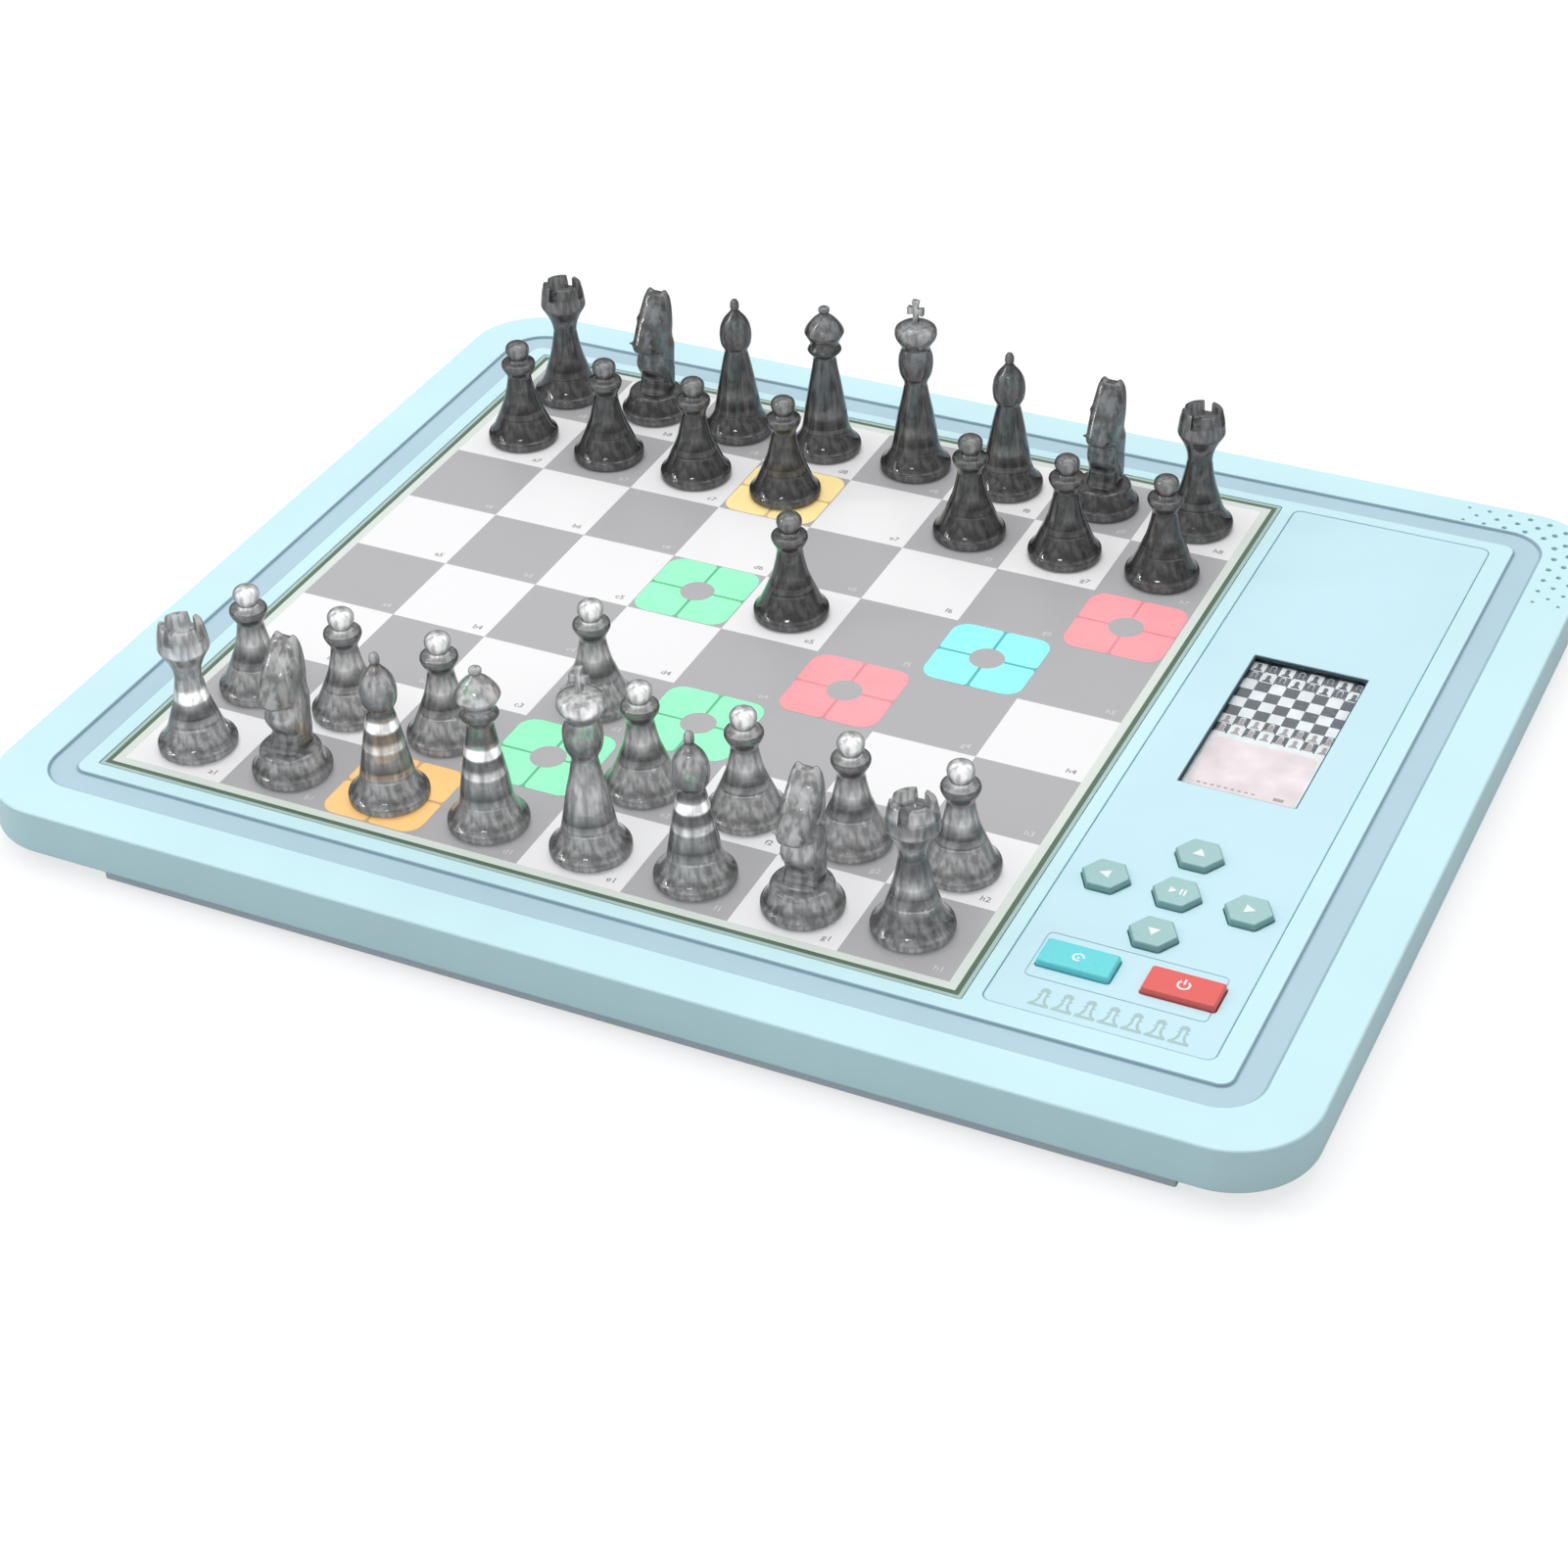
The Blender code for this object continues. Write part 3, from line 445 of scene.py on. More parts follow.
# A darker copy of the panel plastic for the engraved line: painted shade in the groove.
groove_painted_shade = moulded("groove_painted_shade", srgb(176, 208, 218), 0.5)
hex_plastic = moulded("hex_key_plastic", srgb(168, 207, 206), 0.3, 0.05)
# A darker copy of the key plastic for the keys' sides: painted shade.
hex_shade_plastic = moulded("hex_key_shade_plastic", srgb(132, 176, 175), 0.35, 0.05)
cyan_plastic = moulded("cyan_key_plastic", srgb(112, 226, 232), 0.3, 0.04)
red_plastic = moulded("red_key_plastic", srgb(238, 104, 98), 0.3, 0.04)
icon_ink = printed("icon_ink", srgb(246, 252, 252))
pale_ink = printed("pale_ink", srgb(176, 206, 204))
white_ink = printed("white_ink", srgb(250, 250, 250))
grey_ink = printed("grey_ink", srgb(184, 184, 185))
green_ink = printed("green_ink", srgb(88, 114, 92))
inner_ink = printed("inner_ink", srgb(226, 235, 227))
outer_ink = printed("outer_ink", srgb(178, 203, 198))
dark_ink = printed("dark_ink", srgb(120, 120, 118))
light_ink = printed("light_ink", srgb(222, 220, 220))

# Painted light and shade of each kind of piece, from the foot up: (height in mm, level);
# high levels are painted highlights, low ones painted shade.
SKIRT = [(0.0, 0.60), (2.2, 0.52), (3.8, 0.40), (5.2, 0.55), (9.3, 0.60), (12.0, 0.40), (15.0, 0.54)]
WAIST = [(17.2, 0.54), (18.0, 0.80), (19.6, 0.76), (20.8, 0.36), (23.4, 0.36), (24.2, 0.95), (26.4, 0.97),
         (27.4, 0.60), (28.6, 0.33)]
CLEAR_PAINTED_LEVELS = {
    "pawn": SKIRT[:5] + [(11.0, 0.50), (12.8, 0.36), (15.0, 0.50), (17.2, 0.74), (19.2, 0.68), (22.0, 0.50),
                         (24.5, 0.36), (27.8, 0.33), (28.8, 0.76), (35.0, 0.82)],
    "rook": SKIRT[:5] + [(12.0, 0.42), (14.6, 0.36), (16.2, 0.60), (17.2, 0.95), (19.6, 0.95), (21.0, 0.66),
                         (25.0, 0.66), (28.0, 0.52), (33.5, 0.75), (38.5, 0.64), (41.5, 0.74)],
    "knight": SKIRT[:4] + [(7.0, 0.62), (9.0, 0.36), (14.0, 0.52), (20.0, 0.64), (33.0, 0.60), (45.0, 0.66)],
    "bishop": SKIRT + WAIST + [(31.5, 0.36), (36.0, 0.56), (39.5, 0.66), (43.5, 0.50), (45.0, 0.38), (47.5, 0.74)],
    "queen": SKIRT + WAIST + [(35.5, 0.38), (37.0, 0.42), (38.5, 0.62), (42.0, 0.76), (48.5, 0.64), (51.0, 0.76)],
    "king": SKIRT + [(18.0, 0.66), (24.0, 0.66), (30.0, 0.58), (33.0, 0.40), (37.0, 0.42), (39.5, 0.58),
                     (42.0, 0.50), (45.0, 0.68), (48.0, 0.86), (52.0, 0.72), (60.0, 0.72)],
}
SMOKE_FOOT = [(0.0, 0.42), (2.2, 0.38), (3.6, 0.22), (5.2, 0.30), (9.4, 0.35), (11.6, 0.29), (14.8, 0.42),
              (17.0, 0.36), (20.0, 0.30), (24.0, 0.31)]
SMOKE_PAINTED_LEVELS = {
    "pawn": SMOKE_FOOT + [(27.0, 0.36), (29.2, 0.46), (35.0, 0.52)],
    "rook": SMOKE_FOOT + [(28.0, 0.36), (34.0, 0.44), (41.5, 0.50)],
    "knight": SMOKE_FOOT[:5] + [(12.0, 0.32), (20.0, 0.42), (30.0, 0.40), (45.0, 0.46)],
    "bishop": SMOKE_FOOT + [(30.0, 0.35), (36.0, 0.42), (44.0, 0.34), (48.0, 0.48)],
    "queen": SMOKE_FOOT + [(30.0, 0.36), (36.0, 0.34), (39.0, 0.42), (48.0, 0.46), (52.0, 0.60)],
    "king": SMOKE_FOOT + [(30.0, 0.36), (36.0, 0.36), (42.0, 0.44), (47.0, 0.55), (60.0, 0.75)],
}
ACRYLICS = {}
for kind in CLEAR_PAINTED_LEVELS:
    ACRYLICS["clear", kind] = acrylic(f"clear_{kind}_acrylic", (0.74, 0.75, 0.76), (0.10, 0.11, 0.12),
                                      shadow=0.8, cloud=0.5, levels=CLEAR_PAINTED_LEVELS[kind], rim=0.25)
    ACRYLICS["smoke", kind] = acrylic(f"smoke_{kind}_acrylic", (0.50, 0.50, 0.51), (0.08, 0.08, 0.09),
                                      shadow=0.55, cloud=0.55, levels=SMOKE_PAINTED_LEVELS[kind], rim=0.12)
# The rook on h1 has its own painted light and shade.
CORNER_ROOK = [(0.0, 0.70), (2.5, 0.50), (4.0, 0.38), (5.5, 0.45), (8.5, 0.42), (10.0, 0.58), (11.5, 0.47), (13.0, 0.42),
               (16.0, 0.74), (17.5, 0.62), (19.0, 0.47), (22.0, 0.30), (25.0, 0.40), (27.0, 0.60), (32.5, 0.66),
               (35.0, 0.47), (37.0, 0.44), (38.5, 0.75), (41.5, 0.66)]
ACRYLICS["clear_rook_h1"] = acrylic("clear_rook_h1_acrylic", (0.74, 0.75, 0.76), (0.10, 0.11, 0.12),
                                    shadow=0.8, cloud=0.5, levels=CORNER_ROOK, rim=0.25)
lens_acrylic = acrylic("lens_acrylic", (0.98, 0.99, 0.99), (0.90, 0.93, 0.94), shadow=1.0)
# Dark rubber lining for the window's walls: painted shade in the window recess.
shade_lining_rubber = rubbery("shade_lining_rubber", srgb(62, 84, 92))
screen_dark = printed("screen_dark", srgb(66, 74, 84), 0.25)
screen_white = lit("screen_white", srgb(238, 244, 246), 0.06)
screen_pink = lit("screen_pink", srgb(242, 228, 230), 0.05)
screen_grey = printed("screen_grey", srgb(168, 158, 160), 0.25)
module_black = moulded("module_black", srgb(40, 44, 48), 0.35)
white_plastic = moulded("white_plastic", srgb(236, 236, 232), 0.5)
circuit_green = circuit("circuit_green")
foot_rubber = rubbery("foot_rubber", srgb(92, 96, 100))
mat_silicone = rubbery("mat_silicone", srgb(170, 174, 176), 0.7)
speaker_black = rubbery("speaker_black", srgb(54, 62, 66), 0.6)
battery_foil = metal("battery_foil", srgb(190, 194, 198), 0.35, 3 * MM)
steel = metal("steel", srgb(196, 198, 200))


# ---------------------------------------------------------------- top cover

LOWER_ROUND = 1.2 * MM
UPPER_ROUND = 0.8 * MM
CAVITY_WALL = 2.4 * MM
MOUTH_INSET = 5.5 * MM
MOUTH_TOP = 6.8 * MM
PLATE_UNDER = COVER_TOP - 2.6 * MM
CHANNEL_WIDTH = 8.2 * MM
CHANNEL_DEPTH = 0.8 * MM
CHANNEL_LIP = 0.4 * MM
CHANNEL_LOW = Vector((FIELD_X - 10.9 * MM, FIELD_Y - 10.9 * MM))  # inner edge
CHANNEL_HIGH = CHANNEL_LOW + Vector((346.6 * MM, FIELD + 20.9 * MM))
CHANNEL_RADIUS = 4.0 * MM
HOLE_ROWS = 3


def body_outline(inset, steps=24):
    width, depth = COVER_HIGH.x - COVER_LOW.x, COVER_HIGH.y - COVER_LOW.y
    return rounded_box(width - 2 * inset, depth - 2 * inset, BODY_RADIUS - inset, steps=steps)


def cover_blank():
    bm = bmesh.new()
    low = COVER_LOW.z
    rings = []
    for inwards, upwards in quarter(LOWER_ROUND, 9)[::-1]:
        rings.append((body_outline(inwards), low + LOWER_ROUND - upwards))
    for inwards, upwards in quarter(UPPER_ROUND, 5):
        rings.append((body_outline(inwards), COVER_TOP - UPPER_ROUND + upwards))
    add_loft(bm, rings)
    return bm


def cover_cavity():
    bm = bmesh.new()
    mouth = body_outline(MOUTH_INSET)
    room = body_outline(CAVITY_WALL)
    add_loft(bm, [(mouth, 0.0), (mouth, MOUTH_TOP), (room, MOUTH_TOP), (room, PLATE_UNDER)])
    return bm


def channel_outline(grow):
    size = CHANNEL_HIGH - CHANNEL_LOW
    middle = (CHANNEL_LOW + CHANNEL_HIGH) / 2
    return rounded_box(size.x + 2 * grow, size.y + 2 * grow, CHANNEL_RADIUS + grow, tuple(middle), 12)


def channel_cutter():
    """Shallow channel with rounded lips; painted shade darkens its lips, walls and a strip of floor along both
    edges.
    """
    bm = bmesh.new()
    floor = COVER_TOP - CHANNEL_DEPTH
    inner = [(-CHANNEL_LIP, COVER_TOP + MM)]
    for inwards, upwards in quarter(CHANNEL_LIP, 3)[::-1]:
        inner.append((-inwards, COVER_TOP - CHANNEL_LIP + upwards))
    inner += [(0.15 * MM, floor), (0.6 * MM, floor)]
    outer = [(CHANNEL_WIDTH - offset, z) for offset, z in reversed(inner)]
    rows = rows_of(bm, [(channel_outline(offset), z) for offset, z in inner + outer])
    for index, (first, second) in enumerate(zip(rows, rows[1:] + rows[:1])):
        # All but the middle of the floor take the painted shade.
        bridge(bm, first, second, 0 if index == len(inner) - 1 else 1)
    return bm


def flared(outline_of, low, top, lip=0.2 * MM):
    """Opening whose top edge is broken: outline_of(grow) gives its outline."""
    return [(outline_of(0.0), low), (outline_of(0.0), top - lip), (outline_of(lip / 3), top - lip / 3),
            (outline_of(lip), top), (outline_of(lip), top + MM)]


def box_node_outline(node, grow):
    low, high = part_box(node)
    width, depth = high.x - low.x, high.y - low.y
    middle = ((low.x + high.x) / 2, (low.y + high.y) / 2)
    return rounded_box(width + 2 * grow, depth + 2 * grow, 0.25 * MM + grow, middle, 2)


def panel_outline(grow, steps=6):
    width, depth = PANEL_HIGH.x - PANEL_LOW.x, PANEL_HIGH.y - PANEL_LOW.y
    middle = ((PANEL_LOW.x + PANEL_HIGH.x) / 2, (PANEL_LOW.y + PANEL_HIGH.y) / 2)
    return rounded_box(width + 2 * grow, depth + 2 * grow, 2.5 * MM + grow, middle, steps)


def cover_recesses():
    bm = bmesh.new()
    ledge = SHEET_LOW.z - GAP
    rings = flared(lambda grow: box_node_outline("playing_surface", GAP + grow), ledge, COVER_TOP)
    add_loft(bm, rings)
    add_loft(bm, flared(lambda grow: panel_outline(GAP + grow), PANEL_LOW.z - GAP, COVER_TOP))
    return bm


def cover_openings():
    bm = bmesh.new()
    low, high = PLATE_UNDER - MM, PANEL_TOP
    add_prism(bm, box_node_outline("light_guide_grid", GAP), low, high)
    add_prism(bm, box_node_outline("display_window", GAP), low, high)
    add_prism(bm, box_node_outline("key_mat", GAP), low, high)
    socket_low, socket_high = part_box("usb_socket")
    middle = ((socket_low.x + socket_high.x) / 2, COVER_HIGH.y)
    mouth = rounded_box(socket_high.x - socket_low.x + 2 * GAP, 8 * CAVITY_WALL, 0.0, middle, 1)
    add_prism(bm, mouth, socket_low.z - GAP, socket_high.z + GAP)
    return bm


def speaker_hole_places():
    """(x, y, radius) of round holes in rows that follow the body's far-right corner."""
    pitch, row_step, first_inset = 6.4 * MM, 3.9 * MM, 4.2 * MM
    reach_side, reach_far = 27.0 * MM, 20.0 * MM
    arc_x, arc_y = COVER_HIGH.x - BODY_RADIUS, COVER_HIGH.y - BODY_RADIUS
    places = []
    for row in range(HOLE_ROWS):
        radius = BODY_RADIUS - first_inset - row * row_step
        bend = radius * math.pi / 2
        length = bend + reach_side + reach_far
        count = round(length / pitch)
        for hole in range(count + 1 - row % 2):
            along = (hole + 0.5 * (row % 2)) * length / count - reach_side
            if along < 0:
                x, y = arc_x + radius, arc_y + along
            elif along > bend:
                x, y = arc_x - (along - bend), arc_y + radius
            else:
                x = arc_x + radius * math.cos(along / radius)
                y = arc_y + radius * math.sin(along / radius)
            from_middle = abs(2 * (along + reach_side) / length - 1)
            places.append((x, y, 0.95 * MM * (1 - 0.4 * from_middle ** 2)))
    return places


def speaker_hole_cutter():
    bm = bmesh.new()
    for x, y, radius in speaker_hole_places():
        rings = flared(lambda grow: circle(radius + grow, 14, (x, y)), PLATE_UNDER - MM, COVER_TOP,
                       0.15 * MM)
        add_loft(bm, rings)
    return bm


def make_cover():
    cover = as_object("cover_shell", cover_blank(), cover_plastic)
    boolean(cover, as_object("cavity", cover_cavity(), cover_plastic))
    boolean(cover, as_object("channel", channel_cutter(), channel_plastic, channel_painted_shade_plastic))
    boolean(cover, as_object("recesses", cover_recesses(), cover_plastic))
    boolean(cover, as_object("openings", cover_openings(), cover_plastic))
    boolean(cover, as_object("holes", speaker_hole_cutter(), cover_plastic))
    keep_flats(smooth(freeze(cover)))
    settle(cover, "board", "cover", "top_cover")


# ---------------------------------------------------------------- underside

PAN_ROUND = 0.8 * MM
PAN_FLOOR = 2.0 * MM
PAN_WALL = 1.6 * MM
RAIL_ENDS = (-150.0 * MM, 167.0 * MM)


def pan_outline(inset):
    inset += COVER_HIGH.x - PAN_HIGH.x
    width, depth = COVER_HIGH.x - COVER_LOW.x, COVER_HIGH.y - COVER_LOW.y
    return rounded_box(width - 2 * inset, depth - 2 * inset, 26.0 * MM - inset, steps=16)


def make_pan():
    bm = bmesh.new()
    rings = [(pan_outline(inwards), PAN_LOW.z + PAN_ROUND - upwards)
             for inwards, upwards in quarter(PAN_ROUND, 5)[::-1]]
    add_loft(bm, rings + [(pan_outline(0.0), PAN_HIGH.z)])
    pan = as_object("base_pan", bm, pan_plastic)
    room = bmesh.new()
    add_prism(room, pan_outline(PAN_WALL), PAN_LOW.z + PAN_FLOOR, PAN_HIGH.z + MM)
    boolean(pan, as_object("pan_room", room, pan_plastic))
    posts = bmesh.new()
    for index in range(4):
        screw = node_centre(f"case_screw_{index + 1}")
        add_prism(posts, circle(4.6 * MM, 24, screw.xy), PAN_LOW.z + MM, 5.3 * MM)
    boolean(pan, as_object("pan_posts", posts, pan_plastic), "UNION")
    rails = bmesh.new()
    outer, inner = PAN_HIGH.y, COVER_HIGH.y - (COVER_HIGH.x - PAN_HIGH.x) - PAN_WALL / 2
    for side in (-1, 1):
        box = rounded_box(RAIL_ENDS[1] - RAIL_ENDS[0], outer - inner, 0.6 * MM,
                          (sum(RAIL_ENDS) / 2, side * (outer + inner) / 2), 4)
        add_prism(rails, box, PAN_LOW.z + PAN_ROUND, COVER_LOW.z - GAP)
    boolean(pan, as_object("pan_rails", rails, pan_plastic), "UNION")
    holes = bmesh.new()
    for index in range(4):
        screw = node_centre(f"case_screw_{index + 1}")
        wide, narrow = circle(3.2 * MM, 24, screw.xy), circle(1.7 * MM, 24, screw.xy)
        add_loft(holes, [(wide, 0.0), (wide, 3.0 * MM), (narrow, 3.0 * MM), (narrow, 8.0 * MM)])
        low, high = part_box(f"rubber_foot_{index + 1}")
        seat = circle((high.x - low.x) / 2 + GAP, 40, ((low.x + high.x) / 2, (low.y + high.y) / 2))
        add_prism(holes, seat, 0.0, high.z + GAP)
    boolean(pan, as_object("pan_holes", holes, pan_plastic))
    keep_flats(smooth(freeze(pan)))
    settle(pan, "board", "pan", "bottom_cover")


def make_feet():
    for index in range(4):
        node = f"rubber_foot_{index + 1}"
        low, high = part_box(node)
        radius, top = (high.x - low.x) / 2, high.z
        profile = [(0.0, 0.15 * MM), (radius * 0.55, 0.15 * MM), (radius * 0.62, 0.0), (radius - 0.6 * MM, 0.0)]
        profile += [(radius - inwards, 0.6 * MM - upwards) for inwards, upwards in quarter(0.6 * MM, 4)[::-1]]
        profile += [(radius, top), (0.0, top)]
        bm = bmesh.new()
        add_turned(bm, profile, 48, ((low.x + high.x) / 2, (low.y + high.y) / 2))
        settle(smooth(as_object(f"foot_pad_{index + 1}", bm, foot_rubber)), "board", "foot_rubber", node)


def make_screws():
    """Cross-head screws, seen from below."""
    for index in range(4):
        node = f"case_screw_{index + 1}"
        low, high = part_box(node)
        middle = node_centre(node).xy
        head, shank = (high.x - low.x) / 2, 1.25 * MM
        profile = [(0.0, low.z), (head * 0.7, low.z), (head * 0.93, low.z + 0.2 * MM),
                   (head, low.z + 0.6 * MM), (head, low.z + 1.2 * MM), (shank, low.z + 1.2 * MM),
                   (shank, high.z - MM), (0.0, high.z)]
        bm = bmesh.new()
        add_turned(bm, profile, 32, middle)
        screw = as_object(f"cross_screw_{index + 1}", bm, steel)
        for size in ((2.6 * MM, 0.6 * MM), (0.6 * MM, 2.6 * MM)):
            wide = rounded_box(*size, 0.05 * MM, middle, 1)
            tip = rounded_box(size[0] * 0.6, size[1] * 0.6, 0.05 * MM, middle, 1)
            arm = bmesh.new()
            add_loft(arm, [(wide, low.z - MM), (wide, low.z), (tip, low.z + 0.8 * MM)])
            boolean(screw, as_object(f"cross_arm_{index}_{size[0] > size[1]}", arm, steel))
        settle(smooth(freeze(screw)), "board", "bright_steel", node)


# ---------------------------------------------------------------- playing surface

LINE_FROM_FIELD = 2.7 * MM
LINE_WIDTH = 1.5 * MM
LIT_SQUARES = {
    "d5": "green", "e3": "green", "d2": "green",
    "g5": "cyan",
    "f4": "red", "h6": "red",
    "d7": "amber", "c1": "orange",
}
LIGHTS = {
    "green": (srgb(150, 255, 195), srgb(112, 190, 150)),
    "cyan": (srgb(146, 252, 246), srgb(96, 182, 190)),
    "red": (srgb(252, 158, 164), srgb(226, 150, 156)),
    "amber": (srgb(252, 228, 160), srgb(222, 200, 150)),
    "orange": (srgb(252, 204, 132), srgb(214, 176, 130)),
}


def square_corner(square):
    column, row = FILES.index(square[0]), int(square[1]) - 1
    return Vector((FIELD_X + column * SQUARE, FIELD_Y + row * SQUARE))


def make_sheet():
    """One slab whose top is divided along the printed squares and border lines."""
    inks = [inner_ink, green_ink, white_ink, grey_ink, outer_ink]
    first = [SHEET_LOW.x, FIELD_X - LINE_FROM_FIELD - LINE_WIDTH, FIELD_X - LINE_FROM_FIELD]
    xs = first + [FIELD_X + column * SQUARE for column in range(9)]
    xs += [FIELD_X + FIELD + (FIELD_X - x) for x in reversed(first)]
    ys = [y - FIELD_X + FIELD_Y for y in xs]
    count = len(xs)
    bm = bmesh.new()
    top = [[bm.verts.new((x, y, SHEET_TOP)) for x in xs] for y in ys]
    for row in range(count - 1):
        for column in range(count - 1):
            face = bm.faces.new((top[row][column], top[row][column + 1], top[row + 1][column + 1],
                                 top[row + 1][column]))
            rim = min(row, column, count - 2 - row, count - 2 - column)
            if rim < 3:
                face.material_index = (4, 1, 0)[rim]
            else:
                face.material_index = 2 if (row + column) % 2 == 0 else 3
    made = bmesh.ops.extrude_face_region(bm, geom=bm.faces[:])
    lower = [item for item in made["geom"] if isinstance(item, bmesh.types.BMVert)]
    bmesh.ops.translate(bm, verts=lower, vec=(0.0, 0.0, SHEET_LOW.z - SHEET_TOP))
    sheet = as_object("printed_sheet", bm, *inks)
    settle(sheet, "board", "printed_sheet", "playing_surface")


def make_lit_squares():
    """Each lit square shows four rounded quarters; its middle and its corners stay grey."""
    for square, light in LIT_SQUARES.items():
        glow, line = LIGHTS[light]
        corner = square_corner(square)
        middle = corner + Vector((SQUARE / 2, SQUARE / 2))
        bm = bmesh.new()
        gap = 0.5 * MM
        side = SQUARE / 2 - 0.4 * MM - gap
        for sx in (-1, 1):
            for sy in (-1, 1):
                place = (middle.x + sx * (gap + side / 2), middle.y + sy * (gap + side / 2))
                outline = quarter_outline(side, sx, sy)
                add_prism(bm, moved(outline, place), SHEET_TOP, SHEET_TOP + 2 * PRINT, 0)
        ground = box_ring(*corner, *(corner + Vector((SQUARE, SQUARE))))
        add_prism(bm, ground, SHEET_TOP - PRINT, SHEET_TOP + PRINT / 2, 2)
        backing = rounded_box(SQUARE - 0.6 * MM, SQUARE - 0.6 * MM, 5.2 * MM, tuple(middle), 6)
        add_prism(bm, backing, SHEET_TOP - PRINT, SHEET_TOP + PRINT, 1)
        add_prism(bm, circle(5.4 * MM, 32, middle), SHEET_TOP, SHEET_TOP + 3 * PRINT, 2)
        names = f"lit_{light}_{square}"
        patch = as_object(names, bm, lit(names + "_glow", glow), lit(names + "_line", line, 0.1), grey_ink)
        settle(patch, "board", "printed_sheet")


def quarter_outline(side, sx, sy):
    """A square whose corner away from the middle of the board square is the roundest."""
    wide, narrow = side * 0.34, side * 0.08
    points = []
    for corner, (cx, cy) in enumerate(((1, 1), (-1, 1), (-1, -1), (1, -1))):
        radius = wide if (cx, cy) == (sx, sy) else narrow
        x, y = cx * (side / 2 - radius), cy * (side / 2 - radius)
        for step in range(7):
            turn = math.pi / 2 * (corner + step / 6)
            points.append((x + radius * math.cos(turn), y + radius * math.sin(turn)))
    return points


def make_coordinates():
    """Tiny coordinates in the lower right of each square, as thin raised ink."""
    bm = bmesh.new()
    for column in range(8):
        for row in range(8):
            label = FILES[column] + str(row + 1)
            curve = bpy.data.curves.new("label", "FONT")
            curve.body = label
            curve.size = 3.1 * MM
            curve.extrude = PRINT
            curve.align_x = "CENTER"
            curve.resolution_u = 3
            text = bpy.data.objects.new("label", curve)
            bpy.context.scene.collection.objects.link(text)
            graph = bpy.context.evaluated_depsgraph_get()
            mesh = bpy.data.meshes.new_from_object(text.evaluated_get(graph))
            corner = square_corner(label)
            mesh.transform(Matrix.Translation((corner.x + 0.86 * SQUARE, corner.y + 0.09 * SQUARE, SHEET_TOP)))
            for face in mesh.polygons:
                face.material_index = (column + row) % 2
            bm.from_mesh(mesh)
            bpy.data.objects.remove(text)
            bpy.data.meshes.remove(mesh)
            bpy.data.curves.remove(curve)
    marks = as_object("square_coordinates", bm, dark_ink, light_ink)
    settle(marks, "board", "printed_sheet")


# ---------------------------------------------------------------- key panel

GROOVE_WIDTH = 0.4 * MM
GROOVE_DEPTH = 0.15 * MM


def key_outline(node, grow, corner):
    low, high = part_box(node)
    middle = ((low.x + high.x) / 2, (low.y + high.y) / 2)
    if node in HEX_KEYS:
        return moved(rounded_hexagon(HEX_RADIUS + grow, corner + max(grow, 0.0)), middle)
    width, depth = BAR_SIZE[0] + 2 * grow, BAR_SIZE[1] + 2 * grow
    return rounded_box(width, depth, corner + max(grow, 0.0), middle, 5)


HEX_RADIUS = 6.95 * MM
BAR_SIZE = (20.2 * MM, 10.2 * MM)
KEY_CORNER = 0.7 * MM
KEY_CLEARANCE = 0.35 * MM
WINDOW_SIZE = (34.8 * MM, 69.6 * MM)
KEY_FLANGE = 1.4 * MM
KEY_EDGE = 0.7 * MM


def groove(bm, outline):
    """Cutter for an engraved line that follows a closed outline grown by half its width."""
    low, high = PANEL_TOP - GROOVE_DEPTH, PANEL_TOP + MM
    add_frame(bm, outline(GROOVE_WIDTH / 2), outline(-GROOVE_WIDTH / 2), low, high)


def make_panel():
    bm = bmesh.new()
    edge = quarter(0.3 * MM, 3)
    rings = [(panel_outline(0.0), PANEL_LOW.z)]
    rings += [(panel_outline(-inwards), PANEL_TOP - 0.3 * MM + upwards) for inwards, upwards in edge]
    add_loft(bm, rings)
    panel = as_object("key_panel", bm, panel_plastic)
    holes = bmesh.new()
    middle = node_centre("display_window").xy
    window = lambda grow: rounded_box(WINDOW_SIZE[0] + 2 * grow, WINDOW_SIZE[1] + 2 * grow,
                                      0.4 * MM + grow, tuple(middle), 3)
    add_loft(holes, flared_through(window))
    for node in HEX_KEYS + BAR_KEYS:
        add_loft(holes, flared_through(lambda grow: key_outline(node, KEY_CLEARANCE + grow, KEY_CORNER)))
    boolean(panel, as_object("panel_openings", holes, panel_plastic))
    lines = bmesh.new()
    low = node_centre("cyan_key").y - 9.8 * MM
    high = node_centre("cyan_key").y + 9.4 * MM
    left, right = PANEL_LOW.x + 6.5 * MM, PANEL_HIGH.x - 6.5 * MM
    box = lambda grow: rounded_box(right - left + 2 * grow, high - low + 2 * grow, 1.5 * MM + grow,
                                   ((left + right) / 2, (low + high) / 2), 4)
    groove(lines, box)
    # The groove's faces take the painted shade.
    boolean(panel, as_object("panel_grooves", lines, groove_painted_shade))
    keep_flats(smooth(freeze(panel)))
    settle(panel, "board", "panel", "control_panel")


def flared_through(outline_of, lip=0.2 * MM):
    return [(outline_of(0.0), PANEL_LOW.z - MM)] + flared(outline_of, PANEL_LOW.z, PANEL_TOP, lip)


